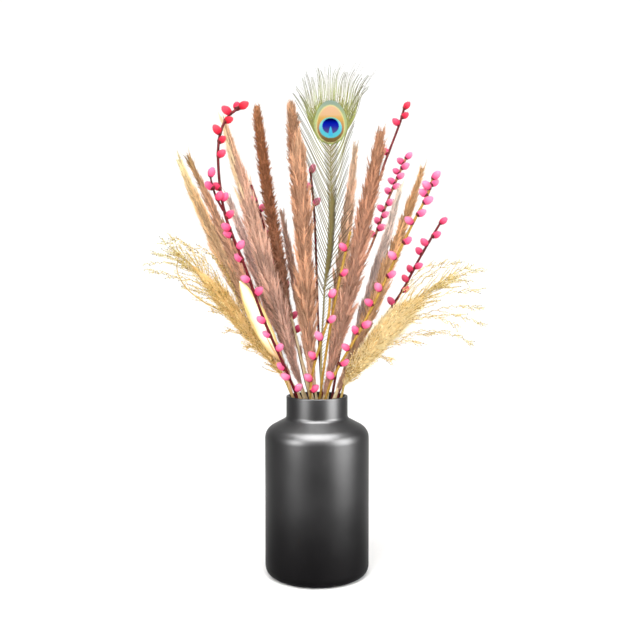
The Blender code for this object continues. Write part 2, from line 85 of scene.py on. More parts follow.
# How each plume looks: slot, colours from foot to tip, tuft length and width, number of tufts.
PLUME_LOOKS = {
    "plume_tan_far_left": ("plume_golden_tan", ("D2AA96", "E2BC9A", "EAC494", "F2E0B0"), 30, 2.6, 130),
    "plume_rose_left": ("plume_rose_brown", ("B88C7A", "C89880", "CA9C7C", "B29060"), 26, 2.2, 116),
    "plume_rose_streaked": ("plume_rose_brown", ("D2AC9C", "DAB09C", "D8AE96", "D8B28C"), 32, 2.7, 150),
    "plume_mauve_back": ("plume_pale", ("CCA89C", "DDB8AC", "E2C0B4", "DCC2B6"), 28, 2.4, 104),
    "plume_small_back_left": ("plume_pale", ("C8A294", "D8B2A2", "DEBAA8", "DEC0AC"), 24, 2.0, 90),
    "plume_rust": ("plume_rust", ("AE8470", "AC7658", "A06846", "B07C56"), 9, 1.25, 620),
    "plume_small_back": ("plume_pale", ("C8A090", "D2AA96", "D6B09C", "D8B49E"), 22, 1.9, 84),
    "plume_brown_tall": ("plume_rose_brown", ("B89080", "C69678", "BE8C6C", "D2A682"), 12, 1.5, 520),
    "plume_rose_front": ("plume_rose_brown", ("CEA48A", "D0A080", "CE9C7C", "E4B692"), 30, 2.7, 156),
    "plume_peach_back": ("plume_pale", ("CCA490", "E2BA9C", "ECC6A8", "EED0B2"), 30, 2.5, 120),
    "plume_brown_right": ("plume_rose_brown", ("CA9E88", "CEA088", "BE8A6C", "BC8C6C"), 22, 2.4, 210),
    "plume_cream_back": ("plume_pale", ("D8BCB0", "E6CEC4", "ECD8CC", "F0E0CC"), 26, 2.1, 96),
    "plume_tan_right": ("plume_golden_tan", ("C69C82", "D0A67E", "CE9E70", "D2A676"), 26, 2.4, 130),
}
# Plumes with shorter tufts than this are bristly, with a fuller core under them.
BRISTLE_LENGTH = 20
CORE_SHARE = 0.52
BRISTLY_CORE_SHARE = 0.66
LEAST_FLARE = 4.5
# The down starts at the plume's foot and is at its full density this far up.
COVER_LENGTH = 12
TUFT_SWELL = (0.3, 0.8, 1.0, 0.86, 0.52, 0.1)
TUFT_SIDES = 5
GOLDEN_ANGLE = 2.39996
PLUME_STEP = 6.0

# Coats: hairs per square metre, shortest, longest and width in millimetres, lean, stray, curl, segments.
SILKY_HAIRS = (105000.0, 4.0, 11.0, 0.34, 0.6, 0.28, 3.0, 2)
BRISTLY_HAIRS = (170000.0, 2.5, 6.5, 0.34, 0.95, 0.3, 3.0, 1)
CATKIN_HAIRS = (420000.0, 0.9, 2.0, 0.14, 0.7, 0.25, 1.0, 1)
BARBULES = (1500000.0, 1.0, 3.0, 0.2, 0.55, 0.12, 1.0, 1)
LEFT_GRASS_HAIRS = (640000.0, 4.0, 11.0, 0.36, 0.8, 0.6, 3.0, 2)
RIGHT_GRASS_HAIRS = (640000.0, 4.0, 12.0, 0.36, 0.8, 0.6, 3.0, 2)
# The share of its coat's lean that the least leaning hair has.
LEAST_LEAN = 0.2

# Twigs: where each passes the rim, its way above it, its catkins, its tints low and high, its bark.
CATKIN_LENGTH = 14.5
CATKIN_WIDTH = 10.0
CATKIN_RISE = 5.0
# A catkin's round foot reaches this far below its base, and its scale is a little wider than it.
CATKIN_SINK = 0.85
SCALE_WIDTH = 1.05
LEAST_REACH = 0.04
TWIG_TAPER = 0.16
KNOT_SWELL = 1.16
WILLOWS = {
    "willow_arched_left": (
        (-28, -15),
        [(-41, -42, 288), (-70, -66, 360), (-94, -84, 432), (-117, -92, 495), (-125, -92, 552),
         (-124, -90, 591), (-115, -86, 617), (-96, -80, 635)],
        [(635, 3), (632, -4), (627, -8), (616, 5), (603, -5), (591, 4), (572, 6), (529, -6), (520, 5),
         (498, 6), (482, -5), (470, -9), (453, 6), (441, -4), (410, -8), (393, 6), (364, -5), (342, -7),
         (321, 6), (295, -5), (280, -6), (262, 6)],
        (0.9, 0.0), "maroon",
    ),
    "willow_back_left": (
        (-11.5, 15),
        [(-21, 20, 287), (-38, 31, 362), (-59, 40, 432), (-79, 46, 497), (-96, 52, 551)],
        [(534, -8), (516, 5), (479, 5), (439, -5), (402, 6), (375, -9), (362, 5), (340, 6)],
        (0.5, 0.85), "maroon",
    ),
    "willow_back_centre": (
        (7, 17),
        [(2, 28, 341), (-4, 50, 508), (-10, 60, 575)],
        [(573, 3), (550, -5), (525, 5)],
        # The palest tints here are partly the catkins' own pink and partly painted light, lifting them out of
        # the feather's shade.
        (1.0, 1.0), "maroon",
    ),
    "willow_front_centre": (
        (4, -22),
        [(9, -34, 289), (20, -52, 361), (32, -66, 422), (44, -74, 474)],
        [(457, -6), (425, 5)],
        (0.8, 0.6), "olive",
    ),
    "willow_front_short": (
        (-9, -29),
        [(-7, -38, 280), (5, -52, 328), (15, -60, 361), (18, -68, 399)],
        [(395, 3), (361, 7), (335, -5), (308, -6), (278, -5), (264, 6)],
        (0.7, 1.0), "olive",
    ),
    "willow_tall_right": (
        (22, 13),
        [(40, 28, 348), (66, 52, 471), (96, 72, 574), (124, 84, 649), (132, 86, 677)],
        [(674, 3), (661, 6), (646, -7), (601, -6)],
        (0.5, 0.0), "maroon",
    ),
    "willow_bushy_right": (
        (14, 24),
        [(44, 50, 383), (81, 80, 464), (110, 98, 541), (137, 108, 603)],
        [(602, 3), (597, -7), (589, 6), (579, -8), (571, 5), (563, -8), (556, 6), (546, -6), (535, 6),
         (524, -7), (514, 5), (502, -5), (493, 6), (486, -8)],
        (1.0, 0.9), "tan",
    ),
    "willow_front_right": (
        (12, -30),
        [(20, -42, 276), (62, -62, 354), (98, -72, 429), (124, -74, 483), (145, -74, 525),
         (152, -72, 547)],
        [(546, 3), (538, 6), (535, -6), (526, -7), (513, 6), (502, 6), (486, -8), (462, 5), (446, -7),
         (421, 7), (398, -5), (381, -9), (355, 6), (339, -5), (325, -8), (300, 6), (285, -6)],
        (0.7, 1.0), "olive",
    ),
    "willow_low_right": (
        (30, 12),
        [(50, 22, 291), (121, 40, 393), (151, 44, 448), (181, 45, 499)],
        [(497, 3), (477, 7), (466, -7), (452, -6), (435, 7), (426, -5), (412, -6), (400, 5), (385, -6)],
        (0.45, 0.35), "maroon",
    ),
}
SPUR = [(-119, -93, 499), (-128, -97, 517), (-132, -100, 531), (-135, -103, 546)]
SPUR_CATKINS = [(545, 3), (532, -5), (518, 5)]
SPUR_RADIUS = 1.6
SPUR_THINNING = 0.5
CATKIN_RINGS = [(0.0, 0.0), (0.06, 0.42), (0.16, 0.72), (0.3, 0.93), (0.46, 1.0), (0.62, 0.95), (0.78, 0.76),
                (0.9, 0.5), (0.97, 0.26), (1.0, 0.0)]
CATKIN_SIDES = 12
SCALE_RINGS = [(-0.06, 0.22), (0.0, 0.44), (0.07, 0.62), (0.13, 0.74), (0.15, 0.66), (0.06, 0.3)]

# Peacock feather, in one upright plane.
FEATHER_RIM = (5, -3)
FEATHER_PLANE = 10.0
FEATHER_SHAFT = [(6, 3, 316), (9, 8, 368), (11, 10, 405), (16, 10, 450), (19, 10, 510), (19, 10, 600)]
SHAFT_RADIUS = 1.6
EYE_CENTRE = (19.0, 628.0)
# The rings' common centre lies this far below the eye's.
EYE_DROP = 2.2
EYE_HALF_WIDTH = 24.0
EYE_BELOW = 27.0
EYE_ABOVE = 36.0
BARB_FIRST, BARB_LAST = 388.0, 606.0
BARBS_PER_SIDE = 32
# Height up the shaft, then the barbs' angles from upright at root, middle and tip, and their length.
LEFT_BARBS = [(388, 30, 20, 22, 34), (430, 25, 18, 20, 62), (480, 23, 19, 22, 84), (530, 29, 24, 28, 94),
              (574, 38, 26, 34, 100), (606, 46, 20, 40, 104)]
RIGHT_BARBS = [(388, 60, 52, 66, 62), (414, 50, 46, 62, 76), (440, 34, 34, 50, 70), (480, 27, 20, 26, 64),
               (530, 30, 16, 24, 80), (574, 38, 16, 30, 94), (606, 46, 16, 42, 100)]
CLUMP = 4
# Short barbs along the shaft: height, spacing, then angles at root, middle and tip, and length.
COMB = [(262, 5.0, 24, 34, 50, 8), (330, 5.0, 26, 44, 84, 13), (396, 4.6, 24, 40, 80, 18),
        (412, 2.3, 18, 22, 28, 20), (500, 2.3, 18, 22, 28, 20), (550, 2.3, 26, 30, 34, 16),
        (600, 1.9, 38, 40, 42, 17)]
SIDE_BARB_RADIUS = 0.86
# Barbs round the eye: number, radius, green, furry, least and greatest share of the way to the fan's
# top, and how far a clump draws together. They are thin grey wisps, long barbs and a short halo.
HALO_BARBS = 60
FAN_KINDS = [
    (70, 0.26, 0.1, 0.0, 0.6, 1.04, 0.2), (44, 0.66, 1.0, 0.5, 0.76, 1.02, 0.66),
    (HALO_BARBS, 0.7, 1.0, 0.7, 0.16, 0.3, 0.3),
]
FAN_START, FAN_END = 205.0, -25.0
FAN_TOP = 720.0

# The eye's rings from its rim inwards, in millimetres from their centre, and each edge's softness.
EYE_RINGS = [
    # centre, half width, above, below, softness
    (0.0, 19.9, 30.6, 22.4, 0.03),
    (0.0, 18.9, 29.2, 21.2, 0.03),
    (-1.0, 15.9, 14.4, 14.4, 0.04),
    (1.4, 11.7, 10.6, 10.8, 0.05),
]

# Golden grasses: the dense lower spray as (place, radius), then the ends of the loose branches.
GRASSES = {
    "golden_grass_left": (
        (-35.5, 3.5),
        [((-46, -10, 276), 2), ((-62, -14, 300), 4), ((-80, -16, 322), 7), ((-104, -18, 352), 10),
         ((-128, -20, 384), 12), ((-152, -22, 412), 11), ((-174, -20, 434), 8), ((-198, -18, 452), 2)],
        [(-235, -30, 432), (-226, -6, 448), (-217, 4, 465), (-201, -26, 468), (-190, 10, 464),
         (-168, 14, 460), (-148, 14, 446), (-224, -44, 424), (-203, -42, 414), (-186, -12, 402),
         (-166, -38, 388), (-146, -4, 370), (-120, -36, 344), (-98, -10, 318)],
    ),
    "golden_grass_right": (
        (34, -9),
        [((38, -15, 268), 3), ((49, -21, 284), 7), ((64, -27, 304), 12), ((84, -32, 330), 16),
         ((107, -34, 356), 17), ((131, -34, 378), 14), ((157, -32, 398), 8), ((190, -28, 416), 2)],
        [(230, -26, 425), (216, -10, 432), (199, 0, 436), (179, -4, 438), (157, -12, 434), (208, -44, 410),
         (216, -52, 396), (227, -26, 373), (222, -42, 353), (213, -18, 325), (188, -56, 350),
         (160, -20, 338), (136, -52, 328), (100, -44, 304)],
    ),
}
# Each spray's side twigs, how far they lean from their branch, its down's share and hairs.
GRASS_LOOKS = {
    "golden_grass_left": (420, 0.55, 0.5, LEFT_GRASS_HAIRS),
    "golden_grass_right": (420, 0.5, 0.85, RIGHT_GRASS_HAIRS),
}
# The down ends at this place of the body; beyond it the branches are bare.
DOWN_END = 6
# The culm that bends over through the left spray.
BENT_CULM = [(-128, -24, 368), (-158, -26, 384), (-180, -26, 403), (-191, -24, 425), (-189, -22, 446)]
BENT_RADIUS = 1.1
BENT_THINNING = 0.4
SPIKELET_SPACING = 3.1
SPIKELET_LENGTH = 3.2
SHORTEST_SPIKELET = 0.65
SPIKELET_WIDTH = 0.68
SPIKELET_SWELL = 6.0

# Ivory leaf: stalk, then blade stations as (place on the midrib, half width).
LEAF_RIM = (-34, -6)
LEAF_BLADE = [
    ((-48, -23, 300), 2), ((-60, -31, 318), 9), ((-71, -37, 340), 12), ((-81, -41, 362), 12.5),
    ((-91, -45, 384), 10), ((-98, -48, 400), 6), ((-103, -50, 410), 1),
]
LEAF_ACROSS = Vector((0.88, -0.15, 0.41))
LEAF_THICKNESS = 0.9
LEAF_FOLD = 3.0
# The fold is given at this half width.
LEAF_FULL_HALF = 11

# Camera: the photo is taken from a little above the middle of the bouquet, almost level.
CAMERA_PLACE = (0.0042, -1.092, 0.398)
CAMERA_PITCH = 2.2
LENS = 43.9

# The floor turns up into the backdrop here, round a quarter circle.
SWEEP_START = 1.4
SWEEP_RADIUS = 1.2
SWEEP_STEPS = 8


def linear(hex_colour):
    """An sRGB hex colour as linear RGBA."""
    channels = [int(hex_colour[i:i + 2], 16) / 255 for i in (0, 2, 4)]
    return [c / 12.92 if c <= 0.04045 else ((c + 0.055) / 1.055) ** 2.4 for c in channels] + [1.0]


def fill(node, sockets):
    """Sets or links a node's inputs, a list in their order. A node stands for its first output."""
    for key, value in enumerate(sockets) if isinstance(sockets, list) else sockets.items():
        if isinstance(value, bpy.types.Node):
            value = value.outputs[0]
        if isinstance(value, bpy.types.NodeSocket):
            node.id_data.links.new(value, node.inputs[key])
        else:
            node.inputs[key].default_value = value


def add(tree, kind, sockets=None, stops=None, **settings):
    """Adds one node with its settings, fills its inputs, and sets a ramp's colour stops."""
    made = tree.nodes.new(kind)
    for setting, value in settings.items():
        setattr(made, setting, value)
    fill(made, sockets or {})
    if stops:
        elements = made.color_ramp.elements
        elements.remove(elements[1])
        elements[0].position = stops[0][0]
        elements[0].color = linear(stops[0][1])
        for place, colour in stops[1:]:
            elements.new(place).color = linear(colour)
    return made


def interpolate(x, xs, ys):
    for i in range(1, len(xs)):
        if x <= xs[i]:
            share = (x - xs[i - 1]) / (xs[i] - xs[i - 1])
            return ys[i - 1] + max(0.0, share) * (ys[i] - ys[i - 1])
    return ys[-1]


def fan(height):
    """The complex factor that carries a stem's slope to its place at this height."""
    above = height - WAIST_HEIGHT
    if above < 0:
        above += FOOT_BEND * above * above
    return complex(above, FAN_TWIST)


def fan_point(slope, height):
    spot = slope * fan(height)
    return Vector((spot.real, spot.imag, height))


def stem_in_vase(rim):
    slope = complex(*rim) / fan(VASE_HEIGHT)
    return [fan_point(slope, height) for height in STEM_HEIGHTS]


def smooth_line(points, parts):
    """A centripetal Catmull-Rom line through the points."""
    pts = [Vector(p) for p in points]
    pts = [2 * pts[0] - pts[1]] + pts + [2 * pts[-1] - pts[-2]]
    line = []
    for i in range(1, len(pts) - 2):
        p0, p1, p2, p3 = pts[i - 1:i + 3]
        t0 = 0.0
        t1 = t0 + (p1 - p0).length ** 0.5
        t2 = t1 + (p2 - p1).length ** 0.5
        t3 = t2 + (p3 - p2).length ** 0.5
        for step in range(parts):
            t = t1 + (t2 - t1) * step / parts
            a1 = p0.lerp(p1, (t - t0) / (t1 - t0))
            a2 = p1.lerp(p2, (t - t1) / (t2 - t1))
            a3 = p2.lerp(p3, (t - t2) / (t3 - t2))
            b1 = a1.lerp(a2, (t - t0) / (t2 - t0))
            b2 = a2.lerp(a3, (t - t1) / (t3 - t1))
            line.append(b1.lerp(b2, (t - t1) / (t2 - t1)))
    line.append(pts[-2])
    return line


def direction(line, i):
    ahead = line[min(i + 1, len(line) - 1)]
    behind = line[max(i - 1, 0)]
    return (ahead - behind).normalized()


class Growth:
    """Gathers closed shapes, each point with its marks, until they become one mesh."""

    def __init__(self):
        self.points = []
        self.faces = []
        self.finishes = []
        self.grain = []
        self.marks = {}

    def take(self, points, faces, grain, finish, marks):
        first = len(self.points)
        self.points += points
        self.grain += grain
        self.faces += [tuple(first + i for i in face) for face in faces]
        self.finishes += [finish] * len(faces)
        for name, values in marks.items():
            kept = self.marks.setdefault(name, [])
            kept += [0.0] * (first - len(kept)) + values

    def mesh(self, name, finishes):
        made = bpy.data.meshes.new(name)
        made.from_pydata([tuple(p * MM) for p in self.points], [], self.faces)
        for finish in finishes:
            made.materials.append(finish)
        made.polygons.foreach_set("material_index", self.finishes)
        made.polygons.foreach_set("use_smooth", [True] * len(self.faces))
        grain = made.attributes.new("grain", "FLOAT_VECTOR", "POINT")
        grain.data.foreach_set("vector", [c for g in self.grain for c in g])
        for mark, values in self.marks.items():
            values += [0.0] * (len(self.points) - len(values))
            made.attributes.new(mark, "FLOAT", "POINT").data.foreach_set("value", values)
        return made


def tapered(count, radius, loss, start=0.0):
    """Radii along a line that loses this share of its radius, evenly from start to its end."""
    return [radius * (1 - loss * max(0, i / (count - 1) - start) / (1 - start)) for i in range(count)]


def wrap(rows, sides):
    """The faces of a closed skin over rows of points: quads between the rows and a cap at both ends."""
    faces = []
    for row in range(0, (rows - 1) * sides, sides):
        for j in range(sides):
            k = (j + 1) % sides
            faces.append((row + j, row + k, row + sides + k, row + sides + j))
    last = (rows - 1) * sides
    return faces + [tuple(reversed(range(sides))), tuple(range(last, last + sides))]


def tube(growth, line, radii, sides, finish=0, flat=None, **marks):
    """A closed tube along the line. flat squeezes it: the way that it is thin, and by how much."""
    points = []
    grain = []
    side = direction(line, 0).orthogonal().normalized()
    for i, (spot, radius) in enumerate(zip(line, radii)):
        along = direction(line, i)
        side = (side - along * side.dot(along)).normalized()
        other = along.cross(side)
        for j in range(sides):
            angle = 2 * math.pi * j / sides
            out = (side * math.cos(angle) + other * math.sin(angle)) * radius
            if flat is not None:
                out -= flat[0] * out.dot(flat[0]) * (1 - flat[1])
            points.append(spot + out)
            grain.append(along)
    spread = {}
    for name, value in marks.items():
        values = value if isinstance(value, list) else [value] * len(line)
        spread[name] = [v for v in values for _ in range(sides)]
    growth.take(points, wrap(len(line), sides), grain, finish, spread)


def new_group(name, kind, inputs, result):
    """An empty node group with its named inputs and its one named result."""
    tree = bpy.data.node_groups.new(name, kind)
    for way, sockets in (("INPUT", inputs), ("OUTPUT", result)):
        for socket, holds in sockets.items():
            tree.interface.new_socket(name=socket, in_out=way, socket_type="NodeSocket" + holds)
    return tree, tree.nodes.new("NodeGroupInput").outputs


def astray(tree, given, way, amount):
    """The rotation along a way that strays at random by this amount."""
    draw = add(tree, "FunctionNodeRandomValue",
               {0: (-1.0, -1.0, -1.0), 1: (1.0, 1.0, 1.0), "Seed": given["Seed"]}, data_type="FLOAT_VECTOR")
    aside = add(tree, "ShaderNodeVectorMath", {0: draw, "Scale": amount}, operation="SCALE")
    strayed = add(tree, "ShaderNodeVectorMath", [way, aside], operation="ADD")
    return add(tree, "FunctionNodeAlignRotationToVector", {"Vector": strayed}, axis="Z")


def slender(tree, given, shortest, longest, width):
    """A hair's or spikelet's size: its width twice and a length drawn between the two."""
    length = add(tree, "FunctionNodeRandomValue", {2: shortest, 3: longest, "Seed": given["Seed"]},
                 data_type="FLOAT")
    return add(tree, "ShaderNodeCombineXYZ", [width, width, length.outputs[1]])


def made_real(tree, given, instances, finish, bearer):
    """Gives each instance its own shade, turns them to mesh of this finish and joins their bearer."""
    shade = add(tree, "FunctionNodeRandomValue", {2: 0.0, 3: 1.0, "Seed": given["Seed"]}, data_type="FLOAT")
    shaded = add(tree, "GeometryNodeStoreNamedAttribute",
                 {"Geometry": instances, "Name": "hair_shade", "Value": shade.outputs[1]},
                 data_type="FLOAT", domain="INSTANCE")
    real = add(tree, "GeometryNodeRealizeInstances", {"Geometry": shaded})
    finished = add(tree, "GeometryNodeSetMaterial", {"Geometry": real, "Material": finish})
    together = add(tree, "GeometryNodeJoinGeometry", [finished])
    fill(together, [bearer])
    add(tree, "NodeGroupOutput", [together])
    return tree


def fibre_coat():
    """Fine tapering hairs on every marked point of a surface, lying along its grain."""
    tree, given = new_group("fibre_coat", "GeometryNodeTree", {
        "Surface": "Geometry", "Hairs per square metre": "Float", "Shortest": "Float", "Longest": "Float",
        "Width": "Float", "Lean": "Float", "Stray": "Float", "Curl": "Float", "Segments": "Int",
        "Seed": "Int", "Finish": "Material",
    }, {"Coated": "Geometry"})
    seed = given["Seed"]
    grain = add(tree, "GeometryNodeInputNamedAttribute", {"Name": "grain"}, data_type="FLOAT_VECTOR")
    thick = add(tree, "GeometryNodeInputNamedAttribute", {"Name": "thick"}, data_type="FLOAT")
    density = add(tree, "ShaderNodeMath", [given["Hairs per square metre"], thick], operation="MULTIPLY")
    roots = add(tree, "GeometryNodeDistributePointsOnFaces",
                {"Mesh": given["Surface"], "Density": density, "Seed": seed})
    lean = add(tree, "FunctionNodeRandomValue", {2: LEAST_LEAN, 3: 1.0, "Seed": seed}, data_type="FLOAT")
    leaning = add(tree, "ShaderNodeMath", [lean.outputs[1], given["Lean"]], operation="MULTIPLY")
    outward = add(tree, "ShaderNodeVectorMath", {0: roots.outputs["Normal"], "Scale": leaning},
                  operation="SCALE")
    leant = add(tree, "ShaderNodeVectorMath", [grain, outward], operation="ADD")
    turned = astray(tree, given, leant, given["Stray"])
    spin = add(tree, "FunctionNodeRandomValue", {2: 0.0, 3: 2 * math.pi, "Seed": seed}, data_type="FLOAT")
    spun = add(tree, "FunctionNodeAxisAngleToRotation", {"Axis": (0.0, 0.0, 1.0), "Angle": spin.outputs[1]})
    rotation = add(tree, "FunctionNodeRotateRotation", [turned, spun], rotation_space="LOCAL")
    size = slender(tree, given, given["Shortest"], given["Longest"], given["Width"])
    # The hair is a thin cone whose tip curls over.
    hair = add(tree, "GeometryNodeMeshCone",
               {"Vertices": 3, "Side Segments": given["Segments"], "Radius Top": 0.0, "Radius Bottom": 1.0,
                "Depth": 1.0}, fill_type="NGON")
    parts = add(tree, "ShaderNodeSeparateXYZ", [tree.nodes.new("GeometryNodeInputPosition")])
    squared = add(tree, "ShaderNodeMath", [parts.outputs[2], 2.0], operation="POWER")
    curl = add(tree, "ShaderNodeMath", [squared, given["Curl"]], operation="MULTIPLY")
    shift = add(tree, "ShaderNodeCombineXYZ", [curl])
    marked = add(tree, "GeometryNodeStoreNamedAttribute",
                 {"Geometry": hair, "Name": "hair_rise", "Value": parts.outputs[2]},
                 data_type="FLOAT", domain="POINT")
    curled = add(tree, "GeometryNodeSetPosition", {"Geometry": marked, "Offset": shift})
    smooth = add(tree, "GeometryNodeSetShadeSmooth", [curled])
    hairs = add(tree, "GeometryNodeInstanceOnPoints",
                {"Points": roots, "Instance": smooth, "Rotation": rotation, "Scale": size})
    return made_real(tree, given, hairs, given["Finish"], given["Surface"])


def spray_on_paths():
    """Thin branches along curves, with small pointed spikelets standing off them all the way."""
    tree, given = new_group("spray_on_paths", "GeometryNodeTree", {
        "Paths": "Geometry", "Spacing": "Float", "Spikelet length": "Float", "Spikelet width": "Float",
        "Splay": "Float", "Seed": "Int", "Branch finish": "Material", "Spikelet finish": "Material",
    }, {"Spray": "Geometry"})
    section = add(tree, "GeometryNodeCurvePrimitiveCircle", {"Resolution": 4, "Radius": 1.0})
    branches = add(tree, "GeometryNodeCurveToMesh",
                   {"Curve": given["Paths"], "Profile Curve": section,
                    "Scale": tree.nodes.new("GeometryNodeInputRadius"), "Fill Caps": True})
    barked = add(tree, "GeometryNodeSetMaterial", {"Geometry": branches, "Material": given["Branch finish"]})
    spaced = add(tree, "GeometryNodeResampleCurve", {"Curve": given["Paths"], "Length": given["Spacing"]},
                 mode="LENGTH")
    turned = astray(tree, given, tree.nodes.new("GeometryNodeInputTangent"), given["Splay"])
    longest = given["Spikelet length"]
    shortest = add(tree, "ShaderNodeMath", [longest, SHORTEST_SPIKELET], operation="MULTIPLY")
    size = slender(tree, given, shortest, longest, given["Spikelet width"])
    # The spikelet is a cone of two parts, swollen where they meet.
    cone = add(tree, "GeometryNodeMeshCone",
               {"Vertices": 3, "Side Segments": 2, "Radius Top": 0.0, "Radius Bottom": 0.35, "Depth": 1.0},
               fill_type="NGON")
    place = tree.nodes.new("GeometryNodeInputPosition")
    parts = add(tree, "ShaderNodeSeparateXYZ", [place])
    belly = add(tree, "ShaderNodeMath", [parts.outputs[2], 0.5, 0.1], operation="COMPARE")
    swelling = add(tree, "ShaderNodeMath", [belly, SPIKELET_SWELL, 1.0], operation="MULTIPLY_ADD")
    widened = add(tree, "ShaderNodeCombineXYZ", [swelling, swelling, 1.0])
    swollen = add(tree, "ShaderNodeVectorMath", [place, widened], operation="MULTIPLY")
    spikelet = add(tree, "GeometryNodeSetPosition", {"Geometry": cone, "Position": swollen})
    smooth = add(tree, "GeometryNodeSetShadeSmooth", [spikelet])
    spikelets = add(tree, "GeometryNodeInstanceOnPoints",
                    {"Points": spaced, "Instance": smooth, "Rotation": turned, "Scale": size})
    return made_real(tree, given, spikelets, given["Spikelet finish"], barked)


def grown(name, data, tree, values):
    """The tree's result on this mesh or curve as one plain mesh object."""
    source = bpy.data.objects.new(name + "_source", data)
    bpy.context.scene.collection.objects.link(source)
    modifier = source.modifiers.new(tree.name, "NODES")
    modifier.node_group = tree
    for item in tree.interface.items_tree:
        if item.in_out == "INPUT" and item.name in values:
            modifier[item.identifier] = values[item.name]
    graph = bpy.context.evaluated_depsgraph_get()
    mesh = bpy.data.meshes.new_from_object(source.evaluated_get(graph), depsgraph=graph)
    bpy.data.objects.remove(source)
    return piece(name, mesh)


def coated(name, mesh, coat, hairs, seed, finish):
    """The mesh under its coat, with the hairs of one row of the hair table."""
    density, shortest, longest, width, lean, stray, curl, segments = hairs
    return grown(name, mesh, coat, {
        "Hairs per square metre": density, "Shortest": shortest * MM, "Longest": longest * MM,
        "Width": width * MM, "Lean": lean, "Stray": stray, "Curl": curl, "Segments": segments,
        "Seed": seed, "Finish": finish,
    })


def piece(name, mesh):
    mesh.name = name + "_look"
    made = bpy.data.objects.new(name + "_look", mesh)
    bpy.context.scene.collection.objects.link(made)
    return made


def settle(made, node):
    """The finished piece stands for its node on the one body, and the node's own part is hidden."""
    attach(made, "root")
    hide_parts(node)


def new_finish(name, values):
    """A material whose constant values are set on its shader's own sockets."""
    made = bpy.data.materials.new(name)
    made.use_nodes = True
    shader = made.node_tree.nodes["Principled BSDF"]
    fill(shader, values)
    return made, made.node_tree, shader


def clouds(tree, scale, detail, stretch=None):
    """Noise over the object's own coordinates, which stretch multiplies first."""
    where = tree.nodes.new("ShaderNodeTexCoord").outputs["Object"]
    if stretch:
        where = add(tree, "ShaderNodeMapping", {0: where, 3: stretch})
    return add(tree, "ShaderNodeTexNoise", {"Vector": where, "Scale": scale, "Detail": detail})


def unlike(tree, colour, hair, darkest, brightest):
    """The colour, darker or brighter from hair to hair."""
    brightness = add(tree, "ShaderNodeMapRange", [hair, 0.0, 1.0, darkest, brightest])
    return add(tree, "ShaderNodeHueSaturation", {"Value": brightness, "Color": colour})


# Glazed stoneware, sprayed matt black: a charcoal body with wide soft reflections and a faint tooth.
def matt_black_stoneware():
    made, tree, shader = new_finish("stoneware_matt_black_glaze", {"IOR": 1.5})
    where = tree.nodes.new("ShaderNodeTexCoord").outputs["Object"]
    cloud = clouds(tree, 18.0, 3.0)
    tint = add(tree, "ShaderNodeValToRGB", [cloud], stops=[(0.3, "0A090A"), (0.7, "0E0D0E")])
    gloss = add(tree, "ShaderNodeMapRange", [cloud, 0.3, 0.7, 0.36, 0.42])
    # Painted shade: the glaze reflects less towards the foot, so the vase darkens downwards.
    parts = add(tree, "ShaderNodeSeparateXYZ", [where])
    painted_shade_sheen = add(tree, "ShaderNodeMapRange", [parts.outputs[2], 0.02, 0.15, 0.02, 0.09],
                interpolation_type="SMOOTHSTEP")
    # The glaze's tooth is about 0.4 mm across.
    tooth = clouds(tree, 2500.0, 2.0)
    bump = add(tree, "ShaderNodeBump", {"Strength": 0.06, "Distance": 0.0002, "Height": tooth})
    fill(shader, {"Base Color": tint, "Roughness": gloss, "Specular IOR Level": painted_shade_sheen, "Normal": bump})
    return made


# Dried reed down: silky hairs, darker at their roots, so that the plume shows long streaks and soft edges.
def reed_down(name, colours):
    values = {"Roughness": 0.9, "Specular IOR Level": 0.005}
    made, tree, shader = new_finish("dried_reed_down_" + name, values)
    rise, thick, tuft, pale, hair, along = [
        add(tree, "ShaderNodeAttribute", attribute_name=mark).outputs["Fac"]
        for mark in ("rise", "thick", "tuft", "pale", "hair_shade", "hair_rise")
    ]
    body = add(tree, "ShaderNodeValToRGB", [rise],
               stops=[(0.0, colours[0]), (0.35, colours[1]), (0.8, colours[2]), (1.0, colours[3])])
    # Tufts differ from each other, and hairs within a tuft. The core's low tuft mark makes it darker: painted
    # shade in the gaps between the tufts.
    uneven = add(tree, "ShaderNodeMath", [tuft, 0.7], operation="MULTIPLY")
    varied = add(tree, "ShaderNodeMath", [hair, 0.3, uneven], operation="MULTIPLY_ADD")
    shade = add(tree, "ShaderNodeMapRange", [varied, 0.0, 1.0, 0.54, 1.74])
    lift = add(tree, "ShaderNodeMapRange", [along, 0.0, 1.0, 0.8, 1.28])
    value = add(tree, "ShaderNodeMath", [shade, lift], operation="MULTIPLY")
    toned = add(tree, "ShaderNodeHueSaturation", {"Value": value, "Color": body})
    creamed = add(tree, "ShaderNodeMix", {0: pale, 6: toned, 7: linear("F2DDB4")}, data_type="RGBA")
    # The bare stem is pale straw with brown flecks a few millimetres long.
    fleck = clouds(tree, 1.0, 3.0, (900.0, 900.0, 60.0))
    straw = add(tree, "ShaderNodeValToRGB", [fleck],
                stops=[(0.3, "BC9C70"), (0.5, "E6D2A6"), (0.75, "F4E8CA")])
    whole = add(tree, "ShaderNodeMix", {0: thick, 6: straw, 7: creamed.outputs[2]}, data_type="RGBA")
    fill(shader, {"Base Color": whole.outputs[2]})
    return made


# Dyed willow bark: thin, waxy and finely wrinkled, so it keeps a low sheen.
def willow_bark(name, dark, light):
    values = {"Roughness": 0.6, "Specular IOR Level": 0.008}
    made, tree, shader = new_finish("dyed_willow_bark_" + name, values)
    grain = clouds(tree, 1.0, 4.0, (700.0, 700.0, 120.0))
    tint = add(tree, "ShaderNodeValToRGB", [grain], stops=[(0.32, dark), (0.68, light)])
    bump = add(tree, "ShaderNodeBump", {"Strength": 0.3, "Distance": 0.0003, "Height": grain})
    fill(shader, {"Base Color": tint, "Normal": bump})
    return made
